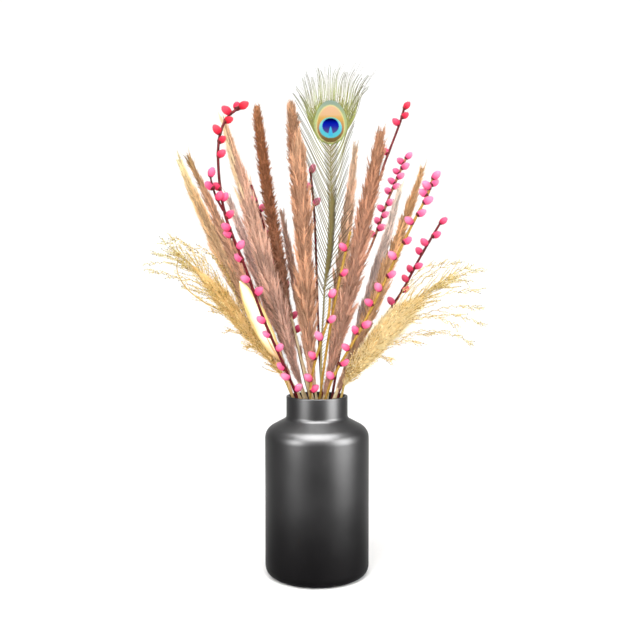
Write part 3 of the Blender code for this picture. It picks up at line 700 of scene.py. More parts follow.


# Dyed willow down: short velvety fur, deep in colour at the foot and paler towards the tip, painted light for
# where the light goes through it.
def catkin_down():
    made, tree, shader = new_finish("dyed_willow_down", {"Roughness": 0.9, "Specular IOR Level": 0.005})
    tint, rise, hair = [
        add(tree, "ShaderNodeAttribute", attribute_name=mark).outputs["Fac"]
        for mark in ("tint", "rise", "hair_shade")
    ]
    deep = add(tree, "ShaderNodeValToRGB", [tint],
               stops=[(0.0, "CC2034"), (0.5, "E0406A"), (1.0, "E4588A")])
    light = add(tree, "ShaderNodeValToRGB", [tint],
                stops=[(0.0, "EC4856"), (0.5, "F4709A"), (1.0, "F294B8")])
    # Painted light: the colour pales towards the tip as if lit through the fur.
    painted_tip_light = add(tree, "ShaderNodeMapRange", [rise, 0.25, 0.8, 0.0, 1.0])
    body = add(tree, "ShaderNodeMix", {0: painted_tip_light, 6: deep, 7: light}, data_type="RGBA")
    toned = unlike(tree, body.outputs[2], hair, 0.9, 1.15)
    fill(shader, {"Base Color": toned})
    return made


# Bud scale: a dry, brown and slightly glossy cup.
def bud_scale():
    made, tree, shader = new_finish("dry_bud_scale", {"Roughness": 0.45, "Specular IOR Level": 0.01})
    patch = clouds(tree, 400.0, 2.0)
    tint = add(tree, "ShaderNodeValToRGB", [patch], stops=[(0.35, "3E1214"), (0.65, "7A2A2A")])
    fill(shader, {"Base Color": tint})
    return made


# Peacock barb: keratin hairs with a bronze-green shimmer, dark towards their free ends.
def peacock_barb():
    made, tree, shader = new_finish("peacock_barb_olive", {"Roughness": 0.7, "Specular IOR Level": 0.005})
    along, green, hair = [
        add(tree, "ShaderNodeAttribute", attribute_name=mark).outputs["Fac"]
        for mark in ("rise", "green", "hair_shade")
    ]
    lively = add(tree, "ShaderNodeValToRGB", [along],
                 stops=[(0.0, "8E9C4A"), (0.35, "BECA70"), (0.6, "A6AC68"), (1.0, "74745A")])
    dull = add(tree, "ShaderNodeValToRGB", [along],
               stops=[(0.0, "A08C5C"), (0.4, "84734C"), (0.8, "5C5340"), (1.0, "4A4538")])
    body = add(tree, "ShaderNodeMix", {0: green, 6: dull, 7: lively}, data_type="RGBA")
    toned = unlike(tree, body.outputs[2], hair, 0.7, 1.3)
    fill(shader, {"Base Color": toned})
    return made


def egg_distance():
    """How far a point of the eye lies out in an egg: below one is inside. Sizes in millimetres."""
    sizes = ("Across", "Up", "Centre", "Half width", "Above", "Below")
    tree, given = new_group("egg_distance", "ShaderNodeTree", dict.fromkeys(sizes, "Float"),
                            {"Distance": "Float"})
    rise = add(tree, "ShaderNodeMath", [given["Up"], given["Centre"]], operation="SUBTRACT")
    upper = add(tree, "ShaderNodeMath", [rise, 0.0], operation="MAXIMUM")
    lower = add(tree, "ShaderNodeMath", [rise, 0.0], operation="MINIMUM")
    above = add(tree, "ShaderNodeMath", [upper, given["Above"]], operation="DIVIDE")
    below = add(tree, "ShaderNodeMath", [lower, given["Below"]], operation="DIVIDE")
    tall = add(tree, "ShaderNodeMath", [above, below], operation="ADD")
    wide = add(tree, "ShaderNodeMath", [given["Across"], given["Half width"]], operation="DIVIDE")
    both = add(tree, "ShaderNodeCombineXYZ", [wide, tall])
    length = add(tree, "ShaderNodeVectorMath", [both], operation="LENGTH")
    add(tree, "NodeGroupOutput", [length.outputs["Value"]])
    return tree


# Peacock eye: tight iridescent barbs, in rings of green, cream, copper, turquoise and violet blue.
def peacock_eye():
    made, tree, shader = new_finish("peacock_eye_iridescent", {"Roughness": 0.6, "Specular IOR Level": 0.0})
    where = tree.nodes.new("ShaderNodeTexCoord").outputs["Object"]
    parts = add(tree, "ShaderNodeSeparateXYZ", [where])
    across = add(tree, "ShaderNodeMath", [parts, 1000.0, -EYE_CENTRE[0]], operation="MULTIPLY_ADD")
    up = add(tree, "ShaderNodeMath", [parts.outputs[2], 1000.0, EYE_DROP - EYE_CENTRE[1]],
             operation="MULTIPLY_ADD")
    # The barbs' ends make each ring's edge a little ragged.
    ragged = clouds(tree, 900.0, 2.0)
    jitter = add(tree, "ShaderNodeMapRange", [ragged, 0.3, 0.7, -0.025, 0.025])
    egg = egg_distance()
    # Outermost: grey-green barbs, brighter below and at the sides.
    rim = add(tree, "ShaderNodeMapRange", [up, -26.0, 34.0])
    outside = add(tree, "ShaderNodeValToRGB", [rim],
                  stops=[(0.0, "A4CA70"), (0.3, "C8D296"), (0.7, "B2C292"), (1.0, "94A898")])
    # Copper: dark bronze at the bottom, peach at the top, amber just over the disc.
    copper = add(tree, "ShaderNodeValToRGB", [rim],
                 stops=[(0.06, "6E5C36"), (0.2, "8C7246"), (0.42, "C6946A"), (0.64, "E2B468"),
                        (0.72, "E9C095"), (0.95, "EBBE9C")])
    disc = add(tree, "ShaderNodeValToRGB", [rim],
               stops=[(0.18, "6CD4DC"), (0.34, "66D2E4"), (0.5, "8CE2E8"), (0.7, "66C6B8")])
    heart = add(tree, "ShaderNodeValToRGB", [rim],
                stops=[(0.28, "6E5E90"), (0.36, "504C92"), (0.45, "2E36AE"), (0.53, "2028A6"),
                       (0.59, "0A0E50"), (0.63, "030318")])
    colours = [linear("ECE7A0"), copper, disc, heart]
    shown = outside
    for (centre, half, above, below, soft), colour in zip(EYE_RINGS, colours):
        egg_sizes = {"Centre": centre, "Half width": half, "Above": above, "Below": below}
        out = add(tree, "ShaderNodeGroup", {"Across": across, "Up": up, **egg_sizes}, node_tree=egg)
        uneven = add(tree, "ShaderNodeMath", [out, jitter], operation="ADD")
        inside = add(tree, "ShaderNodeMapRange", [uneven, 1.0 + soft, 1.0 - soft])
        ringed = add(tree, "ShaderNodeMix", {0: inside, 6: shown, 7: colour}, data_type="RGBA")
        shown = ringed.outputs[2]
    # A bright notch opens the heart from below.
    deep = add(tree, "ShaderNodeMapRange", [up, 1.0, -9.0])
    rounded = add(tree, "ShaderNodeMath", [deep, 0.62], operation="POWER")
    width = add(tree, "ShaderNodeMath", [rounded, 3.4], operation="MULTIPLY")
    far = add(tree, "ShaderNodeMath", [across], operation="ABSOLUTE")
    gap = add(tree, "ShaderNodeMath", [width, far], operation="SUBTRACT")
    open_low = add(tree, "ShaderNodeMapRange", [gap, 0.0, 0.9])
    near = add(tree, "ShaderNodeMapRange", [up, -13.5, -12.0])
    notch = add(tree, "ShaderNodeMath", [open_low, near], operation="MULTIPLY")
    notched = add(tree, "ShaderNodeMix", {0: notch, 6: shown, 7: linear("58C4F0")}, data_type="RGBA")
    # Fine grooves fan out from the foot of the eye, 0.7 mm apart half way up it.
    lifted = add(tree, "ShaderNodeMath", [up, 44.0], operation="ADD")
    turn = add(tree, "ShaderNodeMath", [across, lifted], operation="ARCTAN2")
    many = add(tree, "ShaderNodeMath", [turn, 380.0], operation="MULTIPLY")
    groove = add(tree, "ShaderNodeMath", [many], operation="SINE")
    bump = add(tree, "ShaderNodeBump", {"Strength": 0.5, "Distance": 0.0002, "Height": groove})
    line = add(tree, "ShaderNodeMapRange", [groove, -1.0, 1.0, 0.5, 0.66])
    toned = add(tree, "ShaderNodeHueSaturation",
                {"Saturation": 1.04, "Value": line, "Color": notched.outputs[2]})
    fill(shader, {"Base Color": toned, "Normal": bump})
    return made


# Feather shaft: smooth horn, cream at its foot and olive brown towards the eye.
def feather_shaft():
    made, tree, shader = new_finish("feather_shaft_horn", {"Roughness": 0.4, "Specular IOR Level": 0.01})
    rise = add(tree, "ShaderNodeAttribute", attribute_name="rise").outputs["Fac"]
    cloud = clouds(tree, 90.0, 3.0)
    mixed = add(tree, "ShaderNodeMath", [cloud, 0.3, rise], operation="MULTIPLY_ADD")
    tint = add(tree, "ShaderNodeValToRGB", [mixed],
               stops=[(0.1, "DCCB9E"), (0.6, "B7A878"), (1.2, "7E7A4E")])
    fill(shader, {"Base Color": tint})
    return made


# Golden grass: dry spikelets, each a little different, greener towards the spray's ends.
def golden_spikelet(name, dark, middle, light):
    values = {"Roughness": 0.8, "Specular IOR Level": 0.01}
    made, tree, shader = new_finish("dry_grass_spikelet_" + name, values)
    hair = add(tree, "ShaderNodeAttribute", attribute_name="hair_shade").outputs["Fac"]
    where = tree.nodes.new("ShaderNodeTexCoord").outputs["Object"]
    cloud = clouds(tree, 60.0, 2.0)
    mixed = add(tree, "ShaderNodeMath", [cloud, 0.5, hair], operation="MULTIPLY_ADD")
    tint = add(tree, "ShaderNodeValToRGB", [mixed], stops=[(0.34, dark), (0.5, middle), (1.0, light)])
    parts = add(tree, "ShaderNodeSeparateXYZ", [where])
    far = add(tree, "ShaderNodeMath", [parts], operation="ABSOLUTE")
    outer = add(tree, "ShaderNodeMapRange", [far, 0.12, 0.22, 0.0, 0.85])
    greener = add(tree, "ShaderNodeValToRGB", [mixed],
                  stops=[(0.34, "5C5C3A"), (0.5, "A6A24E"), (0.75, "D6CE72"), (1.0, "D8DCA8")])
    whole = add(tree, "ShaderNodeMix", {0: outer, 6: tint, 7: greener}, data_type="RGBA")
    fill(shader, {"Base Color": whole.outputs[2]})
    return made


# Golden grass body: fine matt down, packed so closely that it reads as one soft mass.
def golden_down(name, dark, light):
    made, tree, shader = new_finish("dry_grass_down_" + name, {"Roughness": 0.9, "Specular IOR Level": 0.005})
    hair = add(tree, "ShaderNodeAttribute", attribute_name="hair_shade").outputs["Fac"]
    cloud = clouds(tree, 70.0, 3.0)
    mixed = add(tree, "ShaderNodeMath", [hair, 0.5, cloud], operation="MULTIPLY_ADD")
    tint = add(tree, "ShaderNodeValToRGB", [mixed], stops=[(0.35, dark), (0.95, light)])
    fill(shader, {"Base Color": tint})
    return made


# Golden grass stem: smooth split straw.
def golden_straw():
    made, tree, shader = new_finish("dry_grass_straw", {"Roughness": 0.55, "Specular IOR Level": 0.01})
    fleck = clouds(tree, 1.0, 3.0, (800.0, 800.0, 90.0))
    tint = add(tree, "ShaderNodeValToRGB", [fleck], stops=[(0.35, "9C7C3C"), (0.65, "DDBF74")])
    fill(shader, {"Base Color": tint})
    return made


# Ivory leaf: a bleached leaf, cream with honey edges and fine veins along it.
def ivory_leaf_skin():
    made, tree, shader = new_finish("bleached_leaf_ivory", {"Roughness": 0.6, "Specular IOR Level": 0.02})
    side, rise = [
        add(tree, "ShaderNodeAttribute", attribute_name=mark).outputs["Fac"]
        for mark in ("side", "rise")
    ]
    cloud = clouds(tree, 55.0, 3.0)
    edge = add(tree, "ShaderNodeMath", [side], operation="ABSOLUTE")
    mixed = add(tree, "ShaderNodeMath", [cloud, 0.5, edge], operation="MULTIPLY_ADD")
    blade = add(tree, "ShaderNodeValToRGB", [mixed],
                stops=[(0.3, "FBF6E2"), (0.7, "F5EBC4"), (1.0, "EBD79A"), (1.3, "D9BC78")])
    stalk = add(tree, "ShaderNodeMapRange", [rise, 0.24, 0.42, 1.0, 0.0])
    tint = add(tree, "ShaderNodeMix", {0: stalk, 6: blade, 7: linear("D2AC78")}, data_type="RGBA")
    veins = add(tree, "ShaderNodeMath", [side, 42.0], operation="MULTIPLY")
    ribs = add(tree, "ShaderNodeMath", [veins], operation="SINE")
    bump = add(tree, "ShaderNodeBump", {"Strength": 0.35, "Distance": 0.0003, "Height": ribs})
    fill(shader, {"Base Color": tint.outputs[2], "Normal": bump})
    return made


# The plain pale stage: a smooth painted sweep.
def painted_sweep():
    made, tree, shader = new_finish("painted_sweep_white", {"Roughness": 1.0, "Specular IOR Level": 0.0})
    cloud = clouds(tree, 3.0, 2.0)
    tint = add(tree, "ShaderNodeValToRGB", [cloud], stops=[(0.3, "F3F2F1"), (0.7, "F6F6F5")])
    fill(shader, {"Base Color": tint})
    return made


def rounded_profile(corners):
    """The corner list as a smooth outline, each corner rounded by its own amount."""
    line = []
    for i, (radius, height, rounding) in enumerate(corners):
        here = Vector((radius, height))
        if rounding == 0:
            line.append(here)
            continue
        before = Vector(corners[i - 1][:2])
        after = Vector(corners[i + 1][:2])
        start = here + (before - here).normalized() * rounding
        end = here + (after - here).normalized() * rounding
        for part in range(ROUNDING_PARTS + 1):
            t = part / ROUNDING_PARTS
            line.append(start.lerp(here, t).lerp(here.lerp(end, t), t))
    return line


def turn_vase():
    """The vase, turned from its outline, with one point at each end of the axis."""
    outline = rounded_profile(VASE_CORNERS)
    points = []
    rows = []
    for spot in outline:
        if spot.x < 0.01:
            rows.append([len(points)] * VASE_STEPS)
            points.append((0.0, 0.0, spot.y * MM))
            continue
        rows.append(list(range(len(points), len(points) + VASE_STEPS)))
        for step in range(VASE_STEPS):
            angle = 2 * math.pi * step / VASE_STEPS
            points.append((spot.x * MM * math.cos(angle), spot.x * MM * math.sin(angle), spot.y * MM))
    faces = []
    for low, high in zip(rows, rows[1:]):
        for j in range(VASE_STEPS):
            k = (j + 1) % VASE_STEPS
            ring = [low[j], low[k], high[k], high[j]]
            faces.append(tuple(dict.fromkeys(reversed(ring))))
    mesh = bpy.data.meshes.new("vase")
    mesh.from_pydata(points, [], faces)
    mesh.polygons.foreach_set("use_smooth", [True] * len(faces))
    mesh.materials.append(matt_black_stoneware())
    return piece("vase", mesh)


def plume_axis(spec, height):
    tip, bow = spec[0], spec[1]
    slope = complex(tip[0], tip[1]) / fan(tip[2])
    centre = fan_point(slope, height)
    share = max(0.0, (height - VASE_HEIGHT) / (tip[2] - VASE_HEIGHT))
    centre.x += bow * 4 * share * (1 - share)
    return centre


def plume_girth(spec, height):
    tip, _, full_radius, length, swell = spec
    share = min(1.0, (height - tip[2] + length) / length)
    crowd = min(1.0, abs(fan(height)) / abs(fan(CROWD_HEIGHT)))
    return max(STEM_RADIUS, full_radius * interpolate(share, PLUME_SHARE, swell) * crowd)


def grow_plume(name, coat):
    """A reed plume: stem, inner core, a spiral of tufts, and a coat of fine hairs on all of them."""
    spec = PLUMES[name]
    slot, colours, tuft_length, tuft_width, tufts = PLUME_LOOKS[name]
    tip, length = spec[0], spec[3]
    foot = tip[2] - length
    chance = random.Random(name)
    growth = Growth()
    heights = [h for h in STEM_HEIGHTS if h < foot - 8] + [foot - 6]
    count = round(length / PLUME_STEP)
    heights += [foot + (length - 4) * i / count for i in range(count + 1)]
    bristly = tuft_length < BRISTLE_LENGTH
    core = BRISTLY_CORE_SHARE if bristly else CORE_SHARE
    line = [plume_axis(spec, h) for h in heights]
    radii = [
        STEM_RADIUS if h < foot else max(STEM_RADIUS * 0.6, core * plume_girth(spec, h))
        for h in heights
    ]
    rise = [max(0.0, (h - foot) / length) for h in heights]
    covered = [0.0 if h < foot else min(1.0, (h - foot) / COVER_LENGTH) for h in heights]
    # The core's tuft mark of 0.15 darkens it and its hairs: painted shade in the gaps between the tufts.
    tube(growth, line, radii, 10, thick=covered, rise=rise, tuft=0.15)
    for i in range(tufts):
        share = (i + chance.random()) / tufts
        start = foot - 30 + share * (length + 24 - tuft_length * 0.55)
        angle = i * GOLDEN_ANGLE + chance.uniform(-0.4, 0.4)
        reach = tuft_length * chance.uniform(0.75, 1.25)
        fullness = 0.55 + 0.45 * math.sin(math.pi * min(1, share + 0.15))
        width = tuft_width * chance.uniform(0.75, 1.15) * fullness
        proud = chance.uniform(0.78, 1.22)
        path = []
        for part in range(len(TUFT_SWELL)):
            t = part / (len(TUFT_SWELL) - 1)
            height = start + reach * t
            spread = 0.4 + 0.72 * t if bristly else 0.22 + 0.68 * t ** 0.8
            out = max(plume_girth(spec, height) * spread, LEAST_FLARE * t) * proud
            centre = plume_axis(spec, height)
            path.append(centre + Vector((math.cos(angle) * out, math.sin(angle) * out, 0)))
        pale = 0.0
        if name == "plume_rose_streaked" and share > 0.7 and math.cos(angle) < -0.2:
            pale = 0.75
        tube(growth, path, [width * s for s in TUFT_SWELL], TUFT_SIDES, thick=1.0, pale=pale,
             tuft=chance.random(), rise=max(0.0, min(1.0, share)))
    down = reed_down(name[6:], colours)
    mesh = growth.mesh(name, [down])
    hairs = BRISTLY_HAIRS if bristly else SILKY_HAIRS
    settle(coated(name, mesh, coat, hairs, chance.randrange(1000), down), name)


def catkin(growth, base, along, size, tint):
    """A downy catkin in its bud scale, from its base along the way it points."""
    turn = along.to_track_quat("Z", "Y")
    for rings, finish, wide, furry in ((CATKIN_RINGS, 1, 1.0, 1.0), (SCALE_RINGS, 2, SCALE_WIDTH, 0.0)):
        points = []
        for share, reach in rings:
            radius = max(reach, LEAST_REACH) * CATKIN_WIDTH / 2 * size * wide
            height = (share * CATKIN_LENGTH - CATKIN_SINK) * size
            for j in range(CATKIN_SIDES):
                angle = 2 * math.pi * j / CATKIN_SIDES
                spot = Vector((radius * math.cos(angle), radius * math.sin(angle), height))
                points.append(turn @ spot + base)
        rise = [share for share, _ in rings for _ in range(CATKIN_SIDES)]
        marks = {"rise": rise, "tint": [tint] * len(points), "thick": [furry] * len(points)}
        growth.take(points, wrap(len(rings), CATKIN_SIDES), [along] * len(points), finish, marks)


def nearest(line, height):
    return min(range(len(line)), key=lambda i: abs(line[i].z - height))


def catkins_along(growth, line, spots, tints, chance):
    """The catkins of a twig, each leaning out from it on its own side."""
    top = max(height for height, _ in spots)
    low = min(height for height, _ in spots)
    for count, (height, sideways) in enumerate(spots):
        near = nearest(line, height)
        on_twig = line[near]
        centre = on_twig + Vector((sideways, 0, 0))
        centre.y += (1 if count % 2 else -1) * chance.uniform(1.5, 3.0)
        base = on_twig - direction(line, near) * CATKIN_RISE
        size = chance.uniform(0.92, 1.06)
        along = (centre - base).normalized()
        share = (height - low) / max(1.0, top - low)
        tint = tints[0] + (tints[1] - tints[0]) * share ** 1.6 + 0.16 * math.sin(7.3 * height)
        catkin(growth, base, along, size, min(1.0, max(0.0, tint)))


def grow_willow(name, coat, barks, down, scale):
    """A dyed pussy-willow twig: knobbly bark, bud scales and downy catkins."""
    rim, way, spots, tints, bark = WILLOWS[name]
    chance = random.Random(name)
    growth = Growth()
    line = smooth_line(stem_in_vase(rim) + [Vector(p) for p in way], 8)
    radii = tapered(len(line), TWIG_RADIUS, TWIG_TAPER)
    for height, _ in spots:
        radii[nearest(line, height)] *= KNOT_SWELL
    tube(growth, line, radii, 10)
    catkins_along(growth, line, spots, tints, chance)
    if name == "willow_arched_left":
        spur = smooth_line(SPUR, 4)
        tube(growth, spur, tapered(len(spur), SPUR_RADIUS, SPUR_THINNING / SPUR_RADIUS), 8)
        catkins_along(growth, smooth_line(SPUR, 2), SPUR_CATKINS, (0.5, 0.5), chance)
    mesh = growth.mesh(name, [barks[bark], down, scale])
    look = coated(name, mesh, coat, CATKIN_HAIRS, chance.randrange(1000), down)
    settle(look, name)


def shaft_x(height):
    xs = [p[0] for p in FEATHER_SHAFT]
    zs = [p[2] for p in FEATHER_SHAFT]
    return interpolate(height, zs, xs)


def barb_path(root, angles, length, side):
    """A barb's way in the feather's plane, by its angles from upright at root, middle and tip."""
    parts = 10
    path = [Vector(root)]
    for i in range(parts):
        lean = math.radians(interpolate((i + 0.5) / parts, (0.0, 0.5, 1.0), angles))
        path.append(path[-1] + Vector((side * math.sin(lean), 0.0, math.cos(lean))) * length / parts)
    return path


def clumped(paths, most, pull, chance):
    """The same barbs with their free ends drawn to the middle one of each clump, two to most at a time."""
    drawn = []
    while paths:
        size = chance.randint(2, most)
        clump = paths[:size]
        paths = paths[size:]
        leader = clump[len(clump) // 2]
        last = len(leader) - 1
        held = pull * chance.uniform(0.7, 1.15)
        for path in clump:
            drawn.append([spot.lerp(leader[i], held * (i / last) ** 2) for i, spot in enumerate(path)])
    return drawn


def lay_barb(growth, path, radius, green, furry):
    """One barb that thins to its tip. furry is how densely its lower half carries barbules."""
    last = len(path) - 1
    fade = [i / last for i in range(last + 1)]
    tube(growth, path, tapered(len(path), radius, 0.5), 4, flat=(Vector((0, 1, 0)), 0.4), rise=fade,
         thick=[furry * max(0.0, 1 - 1.6 * f) for f in fade], green=green)


def grow_side_barbs(growth, chance):
    """The long loose barbs of both sides, drawn together in clumps as they separate."""
    for side, table in ((-1, LEFT_BARBS), (1, RIGHT_BARBS)):
        heights = [row[0] for row in table]
        paths = []
        for i in range(BARBS_PER_SIDE):
            share = (i + chance.uniform(-0.3, 0.3)) / (BARBS_PER_SIDE - 1)
            height = BARB_FIRST + (BARB_LAST - BARB_FIRST) * share
            angles = [interpolate(height, heights, [row[k] for row in table]) for k in (1, 2, 3)]
            length = interpolate(height, heights, [row[4] for row in table]) * chance.uniform(0.86, 1.02)
            root = (shaft_x(height) + side * 0.6, FEATHER_PLANE + chance.uniform(-0.5, 0.5), height)
            paths.append(barb_path(root, angles, length, side))
        for path in clumped(paths, CLUMP, 0.6, chance):
            green = interpolate(path[0].z, (440, 540, 606), (0.0, 0.3, 0.8)) * chance.uniform(0.5, 1.1)
            furry = interpolate(path[0].z, (560, 606), (0.0, 0.35))
            lay_barb(growth, path, SIDE_BARB_RADIUS, min(1.0, green), furry)


def grow_comb(growth, chance):
    """The short barbs along the shaft: curved teeth low down, a close olive band higher up."""
    heights = [row[0] for row in COMB]
    height = heights[0]
    while height < heights[-1]:
        spacing, *angles, length = [
            interpolate(height, heights, [row[k] for row in COMB])
            for k in range(1, 6)
        ]
        depth = interpolate(height, [p[2] for p in FEATHER_SHAFT], [p[1] for p in FEATHER_SHAFT])
        close = interpolate(height, (400, 430, 500, 550), (0.0, 1.0, 1.0, 0.0))
        high = interpolate(height, (500, 560), (0.0, 1.0))
        for side, share in ((1, 1.0), (-1, 0.2 + 0.7 * high)):
            root = (shaft_x(height) + side * 0.6, depth - 0.6, height + chance.uniform(-0.4, 0.4))
            path = barb_path(root, angles, length * share * chance.uniform(0.85, 1.1), side)
            lay_barb(growth, path, 0.56 + 0.4 * close, chance.uniform(0.0, 0.25), 0.0)
        height += spacing


def eye_edge(turn, share):
    """A point at this share of the way out from the eye's centre to its edge."""
    tall = EYE_ABOVE if math.sin(turn) > 0 else EYE_BELOW
    across = EYE_HALF_WIDTH * share * math.cos(turn)
    return (EYE_CENTRE[0] + across, EYE_CENTRE[1] + tall * share * math.sin(turn))


def grow_fan(growth, chance):
    """The barbs round the eye: long ones in clumps, thin grey wisps, and a short yellow-green halo."""
    for count, radius, green, furry, least, most, pull in FAN_KINDS:
        paths = []
        for i in range(count):
            angle = FAN_START + (FAN_END - FAN_START) * (i + chance.uniform(-0.3, 0.3)) / (count - 1)
            share = (angle - 90) / (FAN_START - 90)
            if count == HALO_BARBS and abs(share) < 0.3:
                continue
            x, z = eye_edge(math.radians(angle), 0.92)
            top = FAN_TOP - 14 * share - 22 * share * share
            gust = 7 * math.sin(0.8 * i) + 5 * math.sin(2.3 * i + 1)
            curled = 18 if share < -0.1 else 6
            angles = [abs(share) * 40, abs(share) * 12, abs(share) * 30 + curled + gust]
            uneven = 0.9 + 0.1 * math.sin(1.3 * i)
            reach = (top - z) / math.cos(math.radians(abs(share) * 24))
            length = reach * chance.uniform(least, most) * uneven
            root = (x, FEATHER_PLANE + chance.uniform(0.2, 1.0), z)
            paths.append(barb_path(root, angles, length, -1 if share >= 0 else 1))
        for path in clumped(paths, CLUMP + 2, pull, chance):
            lay_barb(growth, path, radius, green * chance.uniform(0.4, 1.0), furry)


def grow_eye(growth):
    """The eye: a shallow dome of packed barbs, closed at the back."""
    rings = 14
    sides = 72
    points = []
    grain = []
    faces = []
    for front in (-1, 1):
        for ring in range(1, rings + 1):
            share = ring / rings
            for j in range(sides):
                turn = 2 * math.pi * j / sides
                x, z = eye_edge(turn, 0.97 * share)
                depth = 0.25 + (2.2 if front < 0 else 0.5) * (1 - share * share)
                points.append(Vector((x, FEATHER_PLANE + front * depth, z)))
                grain.append(Vector((math.cos(turn), 0, 1 + math.sin(turn))).normalized())
    sheet = rings * sides
    for front in (0, 1):
        first = front * sheet
        middle = list(range(first, first + sides))
        faces.append(tuple(reversed(middle)) if front else tuple(middle))
        for ring in range(rings - 1):
            row = first + ring * sides
            for j in range(sides):
                k = (j + 1) % sides
                quad = (row + j, row + sides + j, row + sides + k, row + k)
                faces.append(tuple(reversed(quad)) if front else quad)
    edge_front = (rings - 1) * sides
    edge_back = sheet + edge_front
    for j in range(sides):
        k = (j + 1) % sides
        faces.append((edge_front + j, edge_back + j, edge_back + k, edge_front + k))
    growth.take(points, faces, grain, 1, {"thick": [0.0] * len(points)})


def grow_feather(coat):
    chance = random.Random("peacock_feather")
    growth = Growth()
    barb = peacock_barb()
    grow_side_barbs(growth, chance)
    grow_comb(growth, chance)
    grow_fan(growth, random.Random("feather_fan"))
    grow_eye(growth)
    line = smooth_line(stem_in_vase(FEATHER_RIM) + [Vector(p) for p in FEATHER_SHAFT], 5)
    radii = tapered(len(line), SHAFT_RADIUS, 0.62, 0.4)
    tube(growth, line, radii, 10, finish=2, rise=[i / (len(line) - 1) for i in range(len(line))])
    mesh = growth.mesh("peacock_feather", [barb, peacock_eye(), feather_shaft()])
    look = coated("peacock_feather", mesh, coat, BARBULES, 7, barb)
    settle(look, "peacock_feather")


def grass_paths(name, chance):
    """The spray's branches as points: the listed ones with a slight zigzag, then the twigs along them."""
    _, body, tips = GRASSES[name]
    twigs, splay = GRASS_LOOKS[name][:2]
    places = [Vector(p) for p, _ in body]
    widths = [r for _, r in body]
    branches = []
    for tip in tips:
        goal = Vector(tip)
        wanted = chance.uniform(0.55, 0.85) * (goal - places[1]).length
        start = min(range(1, len(places) - 1), key=lambda k: abs((goal - places[k]).length - wanted))
        root = places[start].lerp(places[start - 1], chance.random())
        root += (goal - root).normalized() * widths[start] * 0.4
        lift = Vector((0, 0, 0.12 * (goal - root).length * chance.uniform(0.5, 1.4)))
        knees = [root.lerp(goal, way) + lift * rise for way, rise in ((0.3, 1.0), (0.62, 1.2), (0.86, 0.6))]
        line = smooth_line([root] + knees + [goal], 6)
        for k in range(3, len(line) - 1):
            swing = (1 if k % 2 else -1) * chance.uniform(0.6, 1.7)
            line[k] += Vector((0.3 * swing, chance.uniform(-0.8, 0.8), swing))
        branches.append(line)
    spine = smooth_line(places, 3)
    paths = list(branches)
    for i in range(twigs):
        on_spine = i % 2 == 0
        parent = spine if on_spine else branches[(i // 2) % len(branches)]
        last = len(parent) - 1
        start = chance.randrange(1, last) if on_spine else int(last * chance.random() ** 0.8)
        along = direction(parent, start)
        lean = Vector([chance.uniform(-1, 1) for _ in range(3)]) * splay
        root = parent[start].copy()
        if on_spine:
            lean.y = -abs(lean.y)
            place = start / last * (len(widths) - 1)
            root += lean.normalized() * interpolate(place, range(len(widths)), widths) * 0.6
        length = chance.uniform(6, 18) * (1.7 if on_spine else 1.0 - 0.4 * start / last)
        goal = root + (along + lean).normalized() * length
        middle = root.lerp(goal, 0.5) + lean * length * 0.1
        paths.append(smooth_line([root, middle, goal], 3))
    return paths


def grow_grass(name, spray, coat, straw, spikelet, down):
    """A spray of golden grass: its culm, its close downy body and its branches set with spikelets."""
    chance = random.Random(name)
    rim, body, _ = GRASSES[name]
    furry, hairs = GRASS_LOOKS[name][2:]
    curve = bpy.data.curves.new(name + "_paths", "CURVE")
    curve.dimensions = "3D"
    for path in grass_paths(name, chance):
        spline = curve.splines.new("POLY")
        spline.points.add(len(path) - 1)
        for i, (point, spot) in enumerate(zip(spline.points, path)):
            point.co = (*(spot * MM), 1.0)
            point.radius = (0.42 - 0.22 * i / (len(path) - 1)) * MM
    values = {
        "Spacing": SPIKELET_SPACING * MM, "Spikelet length": SPIKELET_LENGTH * MM,
        "Spikelet width": SPIKELET_WIDTH * MM, "Splay": 0.95, "Seed": chance.randrange(1000),
        "Branch finish": straw, "Spikelet finish": spikelet,
    }
    branches = grown(name, curve, spray, values)
    growth = Growth()
    line = smooth_line(stem_in_vase(rim) + [Vector(p) for p, _ in body], 5)
    tube(growth, line, tapered(len(line), STEM_RADIUS, 0.75, 0.45), 8)
    if name == "golden_grass_left":
        bent = smooth_line(BENT_CULM, 5)
        tube(growth, bent, tapered(len(bent), BENT_RADIUS, BENT_THINNING / BENT_RADIUS), 6)
    culm = piece(name + "_culm", growth.mesh(name + "_culm", [straw]))
    downy = Growth()
    middle = smooth_line([p for p, _ in body], 4)
    widths = smooth_line([(width, 0, i) for i, (_, width) in enumerate(body)], 4)
    fade = [min(1.0, max(0.0, (4 * DOWN_END - i) / 7)) for i in range(len(middle))]
    girth = [max(0.6, 0.85 * width.x * (0.1 + 0.9 * f)) for width, f in zip(widths, fade)]
    thick = [furry * (0.15 + 0.85 * f) for f in fade]
    tube(downy, middle, girth, 14, flat=(Vector((0, 1, 0)), 0.7), thick=thick)
    mesh = downy.mesh(name + "_body", [down])
    close_body = coated(name + "_body", mesh, coat, hairs, chance.randrange(1000), down)
    settle(joined([branches, culm, close_body], name), name)


def joined(objects, name):
    """Several plain mesh objects as one."""
    with bpy.context.temp_override(active_object=objects[0], selected_editable_objects=objects):
        bpy.ops.object.join()
    objects[0].name = name + "_look"
    return objects[0]


